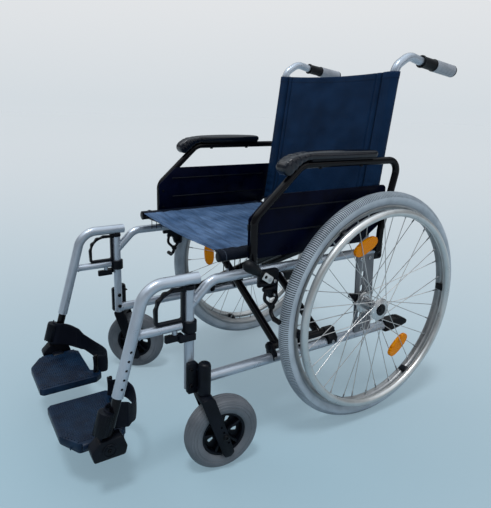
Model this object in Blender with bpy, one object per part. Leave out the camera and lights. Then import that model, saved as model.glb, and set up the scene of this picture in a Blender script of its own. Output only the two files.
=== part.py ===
"""Lightweight folding wheelchair, as an assembly of separate sub-parts.

Metres, Z up. The chair faces -Y and its user's left side is at +X. Places are measured from the
point on the floor under the rear axle, and the empty called wheelchair then centres the whole
chair on the origin. The left side is modelled, and the right side is its mirror image.
"""
import math

import bmesh
import bpy
from mathutils import Matrix, Vector

# Clearances
TOUCH = 0.0003          # between two faces that touch
RUNNING = 0.0004        # round a shaft that turns or slides
MERGE = 0.00001         # corners closer than this are one corner

# Side frame
FRAME_X = 0.2355        # middle of each side frame, from which the other X sizes are counted
FRAME_TUBE_R = 0.011
POST_Y = -0.511
POST_LOW_Z = 0.1940
POST_TOP_Z = 0.428
BRANCH_Z = 0.388        # where the seat-height tube leaves the post
BRANCH_BEND_Y = -0.458
BRANCH_BEND_R = 0.040
UPPER_Z = 0.440         # seat-height tube
UPPER_REAR_Y = 0.030
LOWER_TUBE_R = 0.0125
LOWER_Z = 0.208
LOWER_REAR_Y = 0.130

# Back canes and push handles
CANE_INSET = 0.012      # the canes stand so far inside the side frames
CANE_X = FRAME_X - CANE_INSET
CANE_TUBE_R = 0.011
CANE_FOOT_Y = 0.005     # where the cane's centre line crosses the seat-height tube
CANE_LEAN = math.radians(7.0)
CANE_TOP_Z = 0.908
HANDLE_BEND_Y = 0.108
HANDLE_BEND_Z = 0.936
HANDLE_DROP_Y = 0.150
HANDLE_DROP_Z = 0.9265
HANDLE_END_Y = 0.282
HANDLE_END_Z = 0.9085
HANDLE_BEND_R = 0.022
GRIP_R = 0.0160
GRIP_START = 0.003      # bare tube between the handle's last bend and the grip
GRIP_WALL_END = 0.006
CLAMP_LENGTH = 0.030    # of the cane clamp, along the chair
CLAMP_HALF_HEIGHT = 0.0245
PEDAL_HOLD = 0.032      # length of the tipping pedal on the lower tube
PEDAL_REACH = 0.068     # and beyond the tube's end
PEDAL_RISE = 0.023
PEDAL_FALL = 0.025

# Axle plate
PLATE_THICK = 0.006
PLATE_LEAN = 0.014      # how far its foot lies behind its head
PLATE_WIDTH = 0.061
PLATE_HEAD_FRONT_Y = -0.033
SLOT_LENGTH = 0.015
SLOT_R = 0.0042
SLOT_Y = -0.002
SLOT_PITCH = 0.038
STUB_R = 0.006
PEG_R = 0.0080          # the guard's peg in the top of the post
PEG_LENGTH = 0.018

# Rear wheels
WHEEL_R = 0.304
WHEEL_OFFSET = 0.0509   # from the side frame out to the wheel's middle plane
WHEEL_X = FRAME_X + WHEEL_OFFSET
TYRE_WIDTH = 0.035
TYRE_DEPTH = 0.0337     # from the tread in to the bead
BEAD_R = WHEEL_R - TYRE_DEPTH
RIM_HALF_WIDTH = 0.012
RIM_DEPTH = 0.0128      # from the bead in to the rim's inner face
RIM_INNER_R = BEAD_R - RIM_DEPTH
HANDRIM_OFFSET = 0.0290 # from the wheel's middle plane out to the handrim
HANDRIM_X = WHEEL_X + HANDRIM_OFFSET
HANDRIM_INSET = 0.0019  # the handrim lies this far inside the rim's inner face
HANDRIM_R = RIM_INNER_R - HANDRIM_INSET
HANDRIM_TUBE_R = 0.0098
HANDRIM_SPACERS = 6
SPACER_PHASE = 0.55     # of one pitch, from the top of the wheel to the first spacer
FLANGE_OFFSET = 0.0205
FLANGE_R = 0.0270
HUB_BARREL_R = 0.013
HUB_INNER = 0.0385      # from the wheel's middle plane to the hub's inner end
HUB_OUTER = 0.0270
HUB_FACES = 12
SPOKES = 36
SPOKE_R = 0.0011
SPOKE_SIDE_STEP = 0.0013
SPOKE_CROSS = math.radians(60)
REFLECTOR_LENGTH = 0.084
REFLECTOR_WIDTH = 0.030
REFLECTOR_THICK = 0.0101
REFLECTOR_RADIUS = 0.177
UPPER_REFLECTOR_ANGLE = math.radians(106.5)
LOWER_REFLECTOR_ANGLE = math.radians(-50.6)
REFLECTOR_TILT = math.radians(8)
WHEEL_FACES = 36
RIGHT_WHEEL_STEPS = 7   # the right wheel stands turned by this many faces

# Casters
STEM_OFFSET = 0.0345    # from the side frame out to the caster's stem
STEM_X = FRAME_X + STEM_OFFSET
STEM_Y = -0.491
TRAIL = 0.043
CASTER_R = 0.087
CASTER_WIDTH = 0.043
CASTER_RIM_R = 0.052
CASTER_RIM_HALF = 0.0155
CASTER_RIM_WALL = 0.0055
CASTER_HUB_R = 0.0125
CASTER_HUB_HALF = 0.0185
CASTER_FACES = 24
HOUSING_R = 0.0145
HOUSING_LOW_Z = 0.193
HOUSING_TOP_Z = 0.268
STEM_R = 0.0055
FORK_HALF_GAP = 0.0255
FORK_WALL = 0.004
FORK_CROWN = 0.0135
FORK_LEG_WIDTH = 0.036
FORK_HOLE_R = 0.0027
FORK_HOLE_PITCH = 0.0155
CASTER_BOLT_R = 0.0042
CASTER_YAW = {"left": math.radians(5.8), "right": math.radians(37.5)}

# Cross brace
PIVOT_INSET = 0.0105    # the arms' lower pivots lie so far inside the side frames
PIVOT_X = FRAME_X - PIVOT_INSET
PIVOT_Z = 0.233
PIVOT_ROD_R = 0.006
SLEEVE_R = 0.0095
BRACE_TUBE_R = 0.0095
RAIL_X = CANE_X         # the seat is as wide as the back
RAIL_Z = 0.483
RAIL_R = 0.011
RAIL_FRONT_Y = -0.437
RAIL_REAR_Y = -0.012
OUTER_LEGS_Y = (-0.265, -0.130)
INNER_LEGS_Y = (-0.241, -0.154)
LUGS_Y = ((-0.290, -0.280), (-0.204, -0.191), (-0.115, -0.085))
STUD_R = 0.005

# Seat and back slings
CLOTH = 0.0024
STRIPS = 9              # across each sling, an odd number so that its middle is level
SEAT_FRONT_Y = -0.4360
SEAT_REAR_Y = -0.030
SEAT_SAG = 0.004
SEAT_WRAP = math.radians(20)
BACK_LOW_Z = 0.505
BACK_TOP_Z = 0.896
BACK_SAG = 0.010
BACK_WRAP = math.radians(225)

# Armrests
ARM_OFFSET = 0.0210     # from the side frame out to the armrest
ARM_X = FRAME_X + ARM_OFFSET
ARM_TUBE_R = 0.009
ARM_FOOT_Y = -0.3655
ARM_FOOT_Z = 0.457
CUP_HALF = 0.0135       # of the cup round the armrest's foot
CRADLE_HALF = 0.0150    # of the saddle under the seat rail
CHANNEL_HALF = RAIL_R + 0.0008
CRADLE_LIP = 0.0028     # lips that keep the rail on its flat rest
ARM_ELBOW_Z = 0.568
ARM_TOP_Z = 0.6805
ARM_FRONT_BEND_Y = -0.2413
ARM_REAR_BEND_Y = 0.0725
ARM_KNEE_Y = 0.030
ARM_KNEE_Z = 0.502
HINGE_Y = 0.028
HINGE_Z = 0.452
HINGE_PIN_R = 0.005
PAD_WIDTH = 0.042
PAD_THICK = 0.0215
PAD_REAR_Y = -0.018
PANEL_THICK = 0.0039
PANEL_TOP_Z = 0.617
PANEL_LOW_Z = 0.474
PANEL_REAR_Y = 0.045
PANEL_TOE_Y = -0.030    # where its lower edge turns up towards the rear
RIBS_Z = (0.530, 0.585)
RIB_MIDDLE_Y = -0.165
RIB_LENGTH = 0.330

# Wheel lock
LOCK_Y = -0.330
LOCK_Z = 0.430
LOCK_PIN_R = 0.004
LOCK_BODY_OFFSET = 0.0245
LOCK_BODY_X = FRAME_X + LOCK_BODY_OFFSET    # outer face of its body
LOCK_EDGE = 0.017       # from the lever's pin to the body's edge
LEVER_OFFSET = 0.0340   # from the side frame out to the lever's inner face
LEVER_X = FRAME_X + LEVER_OFFSET
LEVER_PLATE = 0.004
KNOB_Y = -0.386
KNOB_Z = 0.469
SHOE_PIVOT_Y = -0.307
SHOE_PIVOT_Z = 0.387
SHOE_LEAD = 0.0145      # the parked shoe lies this far in front of the tyre
SHOE_Y = -(WHEEL_R + SHOE_LEAD)
SHOE_Z = 0.335
SHOE_R = 0.006

# Legrests
HANGER_R = 0.0125
HANGER_TOP_Z = 0.4495
HANGER_BEND_Y = -0.609
HANGER_BEND_R = 0.050
HANGER_END_Z = 0.222
HANGER_SLOPE = math.radians(15.7)
STRUT_R = 0.0095
STRUT_Z = 0.348
COLLAR_R = 0.0165
COLLAR_Z = (0.331, 0.357)
HOLES = 5
HOLE_R = 0.003
HOLE_PITCH = 0.020
FIRST_HOLE_Z = 0.320
FOOT_TUBE_R = 0.010
FOOT_TUBE_INSIDE = 0.075
HANGER_BORE = 0.150
GUARD_FRONT_Y = POST_Y - 0.019
LATCH_Y = -0.545
LATCH_PIN_R = 0.0028
LATCH_Z = (0.3155, 0.3305)
LATCH_NOSE = 0.023      # from its pin to its front end
LATCH_HOOK = 0.043      # and to its rear end, beside the collar
LOOP_FRONT_Y = -0.590   # finger grip
LOOP_CORNER = 0.042     # reach of its rounded corner
LOOP_TOP_Z = 0.4325
LOOP_WIRE = 0.0055
FLIP_INSET = 0.0295     # the footplates' pivots lie so far inside the side frames
FLIP_X = FRAME_X - FLIP_INSET
FLIP_Y = -0.698
FLIP_Z = 0.110
FLIP_PIN_R = 0.0040
KNUCKLE_LENGTH = 0.027  # of the footrest tube's knuckle, between the footplate's two
KNUCKLES_REACH = 0.044  # from the middle to the outer ends
FOOT_BLOCK_HALF = 0.0155
PLATE_FRONT_Y = -0.778
PLATE_REAR_Y = -0.645
PLATE_INNER_X = 0.036
PLATE_TOP_Z = 0.119
PLATE_LOW_Z = 0.105
PLATE_NOSE_X = 0.046    # the outer front corner is cut off by so much across
PLATE_NOSE_Y = 0.030    # and so much along
STRAP_POST_INSET = 0.023
STRAP_POST_X = PLATE_INNER_X + STRAP_POST_INSET
STRAP_POST_Y = -0.6335
STRAP_POST_R = 0.0050
STRAP_POST_TOP_Z = 0.165
STRAP_HEIGHT = 0.055
STRAP_THICK = 0.003
STRAP_Z = 0.172         # middle of the strap at the footrest tube
STRAP_DROOP = 0.029
STRAP_TAPER = 0.006
STRAP_REAR_Y = -0.578
STRAP_SLACK = 0.0008    # between the strap and what it goes round

FINISHES = {
    "silver": ((0.50, 0.55, 0.62), 0.35, 0.6),
    "black_steel": ((0.012, 0.012, 0.014), 0.30, 0.3),
    "black_plastic": ((0.018, 0.018, 0.020), 0.55, 0.0),
    "grip_grey": ((0.30, 0.29, 0.28), 0.70, 0.0),
    "tyre_grey": ((0.36, 0.37, 0.38), 0.75, 0.0),
    "caster_grey": ((0.20, 0.21, 0.23), 0.70, 0.0),
    "aluminium": ((0.72, 0.72, 0.70), 0.28, 1.0),
    "amber": ((0.90, 0.32, 0.01), 0.20, 0.0),
    "navy_cloth": ((0.020, 0.028, 0.045), 0.85, 0.0),
    "leatherette": ((0.012, 0.012, 0.014), 0.40, 0.0),
}


# Modelling helpers

def clean(bm):
    """Merge the corners that lie on one another, and turn every face outwards."""
    bmesh.ops.remove_doubles(bm, verts=bm.verts, dist=MERGE)
    bmesh.ops.recalc_face_normals(bm, faces=bm.faces)


def new_object(name, bm):
    """An object in the scene that holds the bmesh, with its faces pointing out."""
    clean(bm)
    mesh = bpy.data.meshes.new(name)
    bm.to_mesh(mesh)
    bm.free()
    piece = bpy.data.objects.new(name, mesh)
    bpy.context.scene.collection.objects.link(piece)
    return piece


def apply_modifiers(piece):
    """Turn the evaluated shape into the object's own mesh."""
    depsgraph = bpy.context.evaluated_depsgraph_get()
    mesh = bpy.data.meshes.new_from_object(piece.evaluated_get(depsgraph))
    piece.modifiers.clear()
    piece.data = mesh
    return piece


def combine(piece, others, operation):
    for other in others:
        boolean = piece.modifiers.new("shape", "BOOLEAN")
        boolean.operation = operation
        boolean.solver = "EXACT"
        boolean.object = other
        apply_modifiers(piece)
        bpy.data.objects.remove(other)
        bm = bmesh.new()
        bm.from_mesh(piece.data)
        clean(bm)
        bm.to_mesh(piece.data)
        bm.free()
    return piece


def weld(piece, *others):
    return combine(piece, others, "UNION")


def cut(piece, *others):
    return combine(piece, others, "DIFFERENCE")


def bevelled(piece, width, segments=1, angle=math.radians(40)):
    bevel = piece.modifiers.new("edges", "BEVEL")
    bevel.width = width
    bevel.segments = segments
    bevel.limit_method = "ANGLE"
    bevel.angle_limit = angle
    return apply_modifiers(piece)


def at_x(x, *pairs):
    """Points in the plane X = x, given as (y, z)."""
    return [Vector((x, y, z)) for y, z in pairs]


def rounded_path(corners, radii, arc_step=math.radians(26)):
    """The corners' line with a round bend at each inner corner."""
    points = [corners[0]]
    for before, corner, after, radius in zip(corners, corners[1:], corners[2:], radii):
        into = (corner - before).normalized()
        out = (after - corner).normalized()
        turn = into.angle(out)
        start = corner - into * radius * math.tan(turn / 2)
        centre = corner + (out - into).normalized() * radius / math.cos(turn / 2)
        axis = into.cross(out).normalized()
        steps = max(2, math.ceil(turn / arc_step))
        for step in range(steps + 1):
            spin = Matrix.Rotation(turn * step / steps, 3, axis)
            points.append(centre + spin @ (start - centre))
    points.append(corners[-1])
    return points


def tube(name, points, radius, sides=8):
    """A solid bar along the points: a bevelled curve with filled ends."""
    curve = bpy.data.curves.new(name, "CURVE")
    curve.dimensions = "3D"
    curve.bevel_depth = radius
    curve.bevel_resolution = (sides - 4) // 2
    curve.use_fill_caps = True
    spline = curve.splines.new("POLY")
    spline.points.add(len(points) - 1)
    for target, point in zip(spline.points, points):
        target.co = (*point, 1)
    guide = bpy.data.objects.new(name, curve)
    bpy.context.scene.collection.objects.link(guide)
    depsgraph = bpy.context.evaluated_depsgraph_get()
    mesh = bpy.data.meshes.new_from_object(guide.evaluated_get(depsgraph))
    bm = bmesh.new()
    bm.from_mesh(mesh)
    bpy.data.objects.remove(guide)
    bpy.data.meshes.remove(mesh)
    return new_object(name, bm)


def rod(name, start, end, radius, sides=10):
    start, end = Vector(start), Vector(end)
    along = end - start
    turn = Vector((0, 0, 1)).rotation_difference(along).to_matrix().to_4x4()
    place = Matrix.Translation((start + end) / 2) @ turn
    bm = bmesh.new()
    bmesh.ops.create_cone(bm, cap_ends=True, segments=sides, radius1=radius, radius2=radius,
                          depth=along.length, matrix=place)
    return new_object(name, bm)


def hollow(start, end, radius, sides=10):
    """A cutter whose flats stay clear of a round bar of the given radius."""
    return rod("hollow", start, end, radius / math.cos(math.pi / sides), sides)


def block(name, low, high):
    low, high = Vector(low), Vector(high)
    size = high - low
    place = Matrix.Translation((low + high) / 2) @ Matrix.Diagonal((*size, 1))
    bm = bmesh.new()
    bmesh.ops.create_cube(bm, size=1, matrix=place)
    return new_object(name, bm)


def slab(name, outline, axis, low, high):
    """A flat outline extruded along an axis: (y, z) for X, (x, z) for Y, (x, y) for Z."""
    order = {"X": lambda a, b: (low, a, b), "Y": lambda a, b: (a, low, b), "Z": lambda a, b: (a, b, low)}
    along = {"X": Vector((1, 0, 0)), "Y": Vector((0, 1, 0)), "Z": Vector((0, 0, 1))}[axis]
    bm = bmesh.new()
    face = bm.faces.new([bm.verts.new(order[axis](a, b)) for a, b in outline])
    grown = bmesh.ops.extrude_face_region(bm, geom=[face])
    tips = [item for item in grown["geom"] if isinstance(item, bmesh.types.BMVert)]
    bmesh.ops.translate(bm, verts=tips, vec=along * (high - low))
    return new_object(name, bm)


def turned(name, profile, centre, steps, axis="X"):
    """A profile of (along, radius) points spun round an axis. Ends on the axis stay open there."""
    bm = bmesh.new()
    ring = [bm.verts.new((along, radius, 0)) for along, radius in profile]
    edges = [bm.edges.new(pair) for pair in zip(ring, ring[1:])]
    if profile[0][1] > 0:
        edges.append(bm.edges.new((ring[-1], ring[0])))
    bmesh.ops.spin(bm, geom=ring + edges, cent=(0, 0, 0), axis=(1, 0, 0), angle=2 * math.pi,
                   steps=steps, use_merge=True)
    bmesh.ops.remove_doubles(bm, verts=bm.verts, dist=MERGE)
    bmesh.ops.dissolve_degenerate(bm, edges=bm.edges, dist=MERGE)
    if axis == "Z":
        bmesh.ops.rotate(bm, verts=bm.verts, matrix=Matrix.Rotation(-math.pi / 2, 3, "Y"))
    if axis == "Y":
        bmesh.ops.rotate(bm, verts=bm.verts, matrix=Matrix.Rotation(math.pi / 2, 3, "Z"))
    bmesh.ops.translate(bm, verts=bm.verts, vec=centre)
    return new_object(name, bm)


def ribbon(name, columns, thickness):
    """A sheet through rows of points, thickened to both sides."""
    bm = bmesh.new()
    rows = [[bm.verts.new(point) for point in column] for column in columns]
    for row, beyond in zip(rows, rows[1:]):
        for a, b, c, d in zip(row, row[1:], beyond[1:], beyond):
            bm.faces.new((a, b, c, d))
    sheet = new_object(name, bm)
    wall = sheet.modifiers.new("wall", "SOLIDIFY")
    wall.thickness = thickness
    wall.offset = 0
    return apply_modifiers(sheet)


def arc(centre, radius, start, end, steps):
    """Points (a, b) on an arc, with its angles counted from the first axis."""
    angles = [start + (end - start) * step / steps for step in range(steps + 1)]
    return [(centre[0] + radius * math.cos(a), centre[1] + radius * math.sin(a)) for a in angles]


def stadium(centre, length, radius, tilt=0.0, steps=4):
    """A slot's outline: two half circles joined by straight sides."""
    reach = length / 2 - radius
    ends = []
    for sign in (1, -1):
        middle = (centre[0] + sign * reach * math.cos(tilt), centre[1] + sign * reach * math.sin(tilt))
        turn = tilt + (0 if sign > 0 else math.pi)
        ends += arc(middle, radius, turn - math.pi / 2, turn + math.pi / 2, steps)
    return ends


def cane_y(z):
    """Where the back cane's centre line is at a height."""
    return CANE_FOOT_Y + (z - UPPER_Z) * math.tan(CANE_LEAN)


def hanger_y(z):
    """Where the hanger's straight lower part is at a height."""
    return HANGER_BEND_Y - (HANGER_TOP_Z - z) * math.tan(HANGER_SLOPE)


def on_hanger(z):
    return Vector((FRAME_X, hanger_y(z), z))


# Side frame

def axle_plate():
    rear = PLATE_HEAD_FRONT_Y + PLATE_WIDTH
    foot_z = LOWER_Z - 0.005
    outline = [(PLATE_HEAD_FRONT_Y, UPPER_Z), (rear, UPPER_Z),
               (rear + PLATE_LEAN, foot_z), (PLATE_HEAD_FRONT_Y + PLATE_LEAN, foot_z)]
    inner = FRAME_X + FRAME_TUBE_R - 0.001 - PLATE_THICK
    plate = slab("plate", outline, "X", inner, inner + PLATE_THICK)
    slots = [slab("slot", stadium((SLOT_Y, WHEEL_R + step * SLOT_PITCH), SLOT_LENGTH, SLOT_R, math.pi / 2),
                  "X", inner - 0.01, inner + 0.02) for step in (2, 1, -1)]
    return cut(plate, *slots)


def side_frame():
    post = tube("post", at_x(FRAME_X, (POST_Y, POST_LOW_Z), (POST_Y, POST_TOP_Z)), FRAME_TUBE_R)
    inside = POST_Y + 0.003
    upper = at_x(FRAME_X, (inside, BRANCH_Z + 0.003), (BRANCH_BEND_Y, UPPER_Z), (UPPER_REAR_Y, UPPER_Z))
    lower = at_x(FRAME_X, (inside, LOWER_Z), (LOWER_REAR_Y, LOWER_Z))
    cane = at_x(CANE_X, (cane_y(UPPER_Z - 0.016), UPPER_Z - 0.016), (cane_y(CANE_TOP_Z), CANE_TOP_Z),
                (HANDLE_BEND_Y, HANDLE_BEND_Z), (HANDLE_DROP_Y, HANDLE_DROP_Z), (HANDLE_END_Y, HANDLE_END_Z))
    bends = (HANDLE_BEND_R, HANDLE_BEND_R, HANDLE_BEND_R)
    stub_end = WHEEL_X + HUB_OUTER - 0.004
    plate_face = FRAME_X + FRAME_TUBE_R - 0.001
    frame = weld(
        post,
        tube("upper", rounded_path(upper, [BRANCH_BEND_R]), FRAME_TUBE_R),
        tube("lower", lower, LOWER_TUBE_R),
        tube("cane", rounded_path(cane, bends), CANE_TUBE_R),
        axle_plate(),
        rod("stub", (plate_face - PLATE_THICK / 2, 0, WHEEL_R), (stub_end, 0, WHEEL_R), STUB_R),
        rod("collar", (plate_face - PLATE_THICK / 3, 0, WHEEL_R),
            (WHEEL_X - HUB_INNER - RUNNING, 0, WHEEL_R), STUB_R + 0.004))
    peg_bore = hollow((FRAME_X, POST_Y, POST_TOP_Z - PEG_LENGTH - 0.002), (FRAME_X, POST_Y, POST_TOP_Z + 0.01),
                      PEG_R + RUNNING, 8)
    return cut(frame, peg_bore)


def tip_lever():
    front, rear = LOWER_REAR_Y - PEDAL_HOLD, LOWER_REAR_Y + PEDAL_REACH
    top, foot = LOWER_Z + PEDAL_RISE, LOWER_Z - PEDAL_FALL
    outline = [(front, top), (rear - 0.038, top - 0.001), (rear - 0.012, top - 0.012), (rear, LOWER_Z - 0.005),
               (rear - 0.007, foot + 0.003), (rear - 0.026, foot), (front, foot + 0.005)]
    half = LOWER_TUBE_R + 0.0045
    pedal = bevelled(slab("pedal", outline, "X", FRAME_X - half, FRAME_X + half), 0.004)
    bore = hollow((FRAME_X, front - 0.02, LOWER_Z), (FRAME_X, LOWER_REAR_Y + TOUCH, LOWER_Z),
                  LOWER_TUBE_R + TOUCH)
    return cut(pedal, bore)


def cane_clamp():
    rear = UPPER_REAR_Y + CLAMP_LENGTH
    top = UPPER_Z + CLAMP_HALF_HEIGHT
    clamp = block("clamp", (CANE_X - 0.009, UPPER_REAR_Y, UPPER_Z - CLAMP_HALF_HEIGHT), (CANE_X + 0.0205, rear, top))
    ear = block("ear", (CANE_X - 0.006, HINGE_Y - 0.008, UPPER_Z + 0.0015), (CANE_X + 0.0200, rear - 0.01,
                                                                            top - 0.0005))
    pin = rod("pin", (CANE_X + 0.010, HINGE_Y, HINGE_Z), (ARM_X + 0.0065, HINGE_Y, HINGE_Z), HINGE_PIN_R)
    bore = hollow((FRAME_X, 0, UPPER_Z), (FRAME_X, UPPER_REAR_Y + TOUCH, UPPER_Z), FRAME_TUBE_R + TOUCH)
    low, high = UPPER_Z - 2 * CLAMP_HALF_HEIGHT, UPPER_Z + 2 * CLAMP_HALF_HEIGHT
    groove = hollow((CANE_X, cane_y(low), low), (CANE_X, cane_y(high), high), CANE_TUBE_R + TOUCH)
    return cut(weld(bevelled(clamp, 0.0024), ear, pin), bore, groove)


def push_grip():
    bend, drop, end = at_x(CANE_X, (HANDLE_BEND_Y, HANDLE_BEND_Z), (HANDLE_DROP_Y, HANDLE_DROP_Z),
                           (HANDLE_END_Y, HANDLE_END_Z))
    along = (end - drop).normalized()
    bend_end = HANDLE_BEND_R * math.tan((drop - bend).angle(along) / 2)
    start = drop + along * (bend_end + GRIP_START)
    length = (end - start).length
    profile = [(0, 0), (0, GRIP_R - 0.001), (0.004, GRIP_R), (0.048, GRIP_R), (0.052, GRIP_R - 0.0012),
               (0.060, GRIP_R), (length - 0.004, GRIP_R), (length + GRIP_WALL_END - 0.002, GRIP_R - 0.001),
               (length + GRIP_WALL_END, GRIP_R - 0.004), (length + GRIP_WALL_END, 0)]
    grip = turned("grip", profile, (0, 0, 0), 12)
    turn = Vector((1, 0, 0)).rotation_difference(along).to_matrix().to_4x4()
    grip.data.transform(Matrix.Translation(start) @ turn)
    bore = hollow(start - along * 0.02, end + along * TOUCH, CANE_TUBE_R + TOUCH)
    return cut(grip, bore)


# Rear wheel

def wheel_centre():
    return Vector((WHEEL_X, 0, WHEEL_R))


def rear_tyre():
    half = TYRE_WIDTH / 2
    section = arc((0, WHEEL_R - half), half, math.radians(-38), math.radians(218), 5)
    profile = [(0.0100, BEAD_R)] + section + [(-0.0100, BEAD_R)]
    return turned("tyre", profile, wheel_centre(), WHEEL_FACES)


def rear_rim():
    seat = BEAD_R - TOUCH
    profile = [(RIM_HALF_WIDTH, seat), (RIM_HALF_WIDTH, seat - 0.006), (RIM_HALF_WIDTH / 2, RIM_INNER_R),
               (-RIM_HALF_WIDTH / 2, RIM_INNER_R), (-RIM_HALF_WIDTH, seat - 0.006), (-RIM_HALF_WIDTH, seat)]
    return turned("rim", profile, wheel_centre(), WHEEL_FACES)


def spoke_mesh():
    """All spokes in one mesh, none touching another."""
    bm = bmesh.new()
    hub_r = FLANGE_R - 0.0045
    end_r = RIM_INNER_R - RUNNING - 0.0001
    for number in range(SPOKES):
        flange = 1 if number % 2 else -1
        lean = 1 if number % 4 < 2 else -1
        rim_angle = 2 * math.pi * number / SPOKES
        hub_angle = rim_angle - lean * SPOKE_CROSS
        step = lean * SPOKE_SIDE_STEP
        start = Vector((flange * FLANGE_OFFSET + step, hub_r * math.cos(hub_angle), hub_r * math.sin(hub_angle)))
        end = Vector((flange * 0.003 + step, end_r * math.cos(rim_angle), end_r * math.sin(rim_angle)))
        turn = Vector((0, 0, 1)).rotation_difference(end - start).to_matrix().to_4x4()
        place = Matrix.Translation((start + end) / 2) @ turn
        bmesh.ops.create_cone(bm, cap_ends=True, segments=3, radius1=SPOKE_R, radius2=SPOKE_R,
                              depth=(end - start).length, matrix=place)
    bmesh.ops.translate(bm, verts=bm.verts, vec=wheel_centre())
    return new_object("spokes", bm)


def rear_hub():
    bore = (STUB_R + RUNNING) / math.cos(math.pi / HUB_FACES)
    half = 0.0015
    profile = [(HUB_OUTER - 0.0035, 0), (HUB_OUTER - 0.0035, bore), (-HUB_INNER, bore), (-HUB_INNER, 0.0110),
               (-FLANGE_OFFSET - 0.004, HUB_BARREL_R), (-FLANGE_OFFSET - half, FLANGE_R),
               (-FLANGE_OFFSET + half, FLANGE_R), (-FLANGE_OFFSET + half + 0.001, HUB_BARREL_R),
               (FLANGE_OFFSET - half - 0.001, HUB_BARREL_R), (FLANGE_OFFSET - half, FLANGE_R),
               (FLANGE_OFFSET + half, FLANGE_R), (FLANGE_OFFSET + 0.003, 0.0150), (HUB_OUTER, 0.0140),
               (HUB_OUTER, 0)]
    return weld(turned("hub", profile, wheel_centre(), HUB_FACES), spoke_mesh())


def handrim():
    centre = Vector((HANDRIM_X, 0, WHEEL_R))
    ring = turned("ring", arc((0, HANDRIM_R), HANDRIM_TUBE_R, 0, 2 * math.pi, 6)[:-1], centre, WHEEL_FACES)
    inner = WHEEL_X + RIM_HALF_WIDTH + TOUCH
    spacers = []
    for number in range(HANDRIM_SPACERS):
        spacer = block("spacer", (inner, -0.006, HANDRIM_R - 0.001), (HANDRIM_X - 0.004, 0.006, HANDRIM_R + 0.008))
        angle = 2 * math.pi * (number + SPACER_PHASE) / HANDRIM_SPACERS
        spacer.data.transform(Matrix.Translation((0, 0, WHEEL_R)) @ Matrix.Rotation(angle, 4, "X"))
        spacers.append(spacer)
    return weld(ring, *spacers)


def reflector(angle, tilt):
    """A lens held between the two layers of spokes."""
    centre = (REFLECTOR_RADIUS * math.cos(angle), WHEEL_R + REFLECTOR_RADIUS * math.sin(angle))
    outline = stadium(centre, REFLECTOR_LENGTH, REFLECTOR_WIDTH / 2, angle + math.pi / 2 + tilt)
    half = REFLECTOR_THICK / 2
    return bevelled(slab("reflector", outline, "X", WHEEL_X - half, WHEEL_X + half), 0.0015, 1, math.radians(60))


# Caster

def caster_centre():
    return Vector((STEM_X, STEM_Y + TRAIL, CASTER_R))


def caster_housing():
    inner = FRAME_X + FRAME_TUBE_R + TOUCH
    plate = block("plate", (inner, POST_Y - 0.0125, HOUSING_LOW_Z), (STEM_X - HOUSING_R + 0.003, POST_Y + 0.0185,
                                                                     HOUSING_TOP_Z - 0.004))
    top = HOUSING_TOP_Z
    profile = [(HOUSING_LOW_Z, 0), (HOUSING_LOW_Z, HOUSING_R - 0.001), (HOUSING_LOW_Z + 0.003, HOUSING_R),
               (top - 0.006, HOUSING_R), (top - 0.002, HOUSING_R - 0.002), (top, HOUSING_R - 0.006), (top, 0)]
    barrel = turned("barrel", profile, (STEM_X, STEM_Y, 0), 12, "Z")
    bore = hollow((STEM_X, STEM_Y, HOUSING_LOW_Z - 0.01), (STEM_X, STEM_Y, HOUSING_LOW_Z + 0.055),
                  STEM_R + RUNNING)
    tube_space = hollow((FRAME_X, POST_Y, LOWER_Z), (FRAME_X, STEM_Y + 0.01, LOWER_Z), LOWER_TUBE_R + TOUCH)
    return cut(weld(bevelled(plate, 0.002), barrel), bore, tube_space)


def caster_fork():
    top = HOUSING_LOW_Z - 0.0005
    bolt = caster_centre()
    width = FORK_LEG_WIDTH
    foot_y = bolt.y + 0.004
    outline = [(STEM_Y - 0.022, top), (STEM_Y - 0.022 + width, top), (foot_y + 0.016 + width / 2, 0.043),
               (foot_y + 0.009 + width / 2, 0.034), (foot_y - 0.001, 0.034), (foot_y - 0.006, 0.040)]
    half = FORK_HALF_GAP + FORK_WALL
    fork = slab("fork", outline, "X", STEM_X - half, STEM_X + half)
    pocket = block("pocket", (STEM_X - FORK_HALF_GAP, STEM_Y - 2 * width, 0.0),
                   (STEM_X + FORK_HALF_GAP, foot_y + 2 * width, top - FORK_CROWN))
    fork = cut(fork, pocket)
    reach = half + 0.003
    bolt_rod = rod("bolt", bolt - Vector((half, 0, 0)), bolt + Vector((half, 0, 0)), CASTER_BOLT_R, 8)
    heads = [rod("head", bolt + Vector((side * (half - 0.001), 0, 0)), bolt + Vector((side * reach, 0, 0)), 0.0075, 6)
             for side in (1, -1)]
    spacers = [rod("spacer", bolt + Vector((side * (half - 0.001), 0, 0)), bolt + Vector((side * 0.0190, 0, 0)),
                   0.0070, 8) for side in (1, -1)]
    stem = rod("stem", (STEM_X, STEM_Y, top - 0.004), (STEM_X, STEM_Y, HOUSING_LOW_Z + 0.053), STEM_R, 8)
    along = Vector((0, TRAIL + 0.0095, CASTER_R - top - 0.0185)).normalized()
    holes = []
    for number in (-2, -1, 1):
        middle = bolt + along * number * FORK_HOLE_PITCH
        holes.append(rod("hole", middle - Vector((2 * half, 0, 0)), middle + Vector((2 * half, 0, 0)), FORK_HOLE_R, 6))
    return weld(cut(fork, *holes), bolt_rod, *heads, *spacers, stem)


def caster_tyre():
    half = CASTER_WIDTH / 2
    bead = CASTER_RIM_R + TOUCH
    side = [(0.0165, bead), (half, bead + 0.012), (half, CASTER_R - 0.014), (half * 0.55, CASTER_R)]
    profile = side + [(-along, radius) for along, radius in reversed(side)]
    return turned("caster tyre", profile, caster_centre(), CASTER_FACES)


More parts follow.
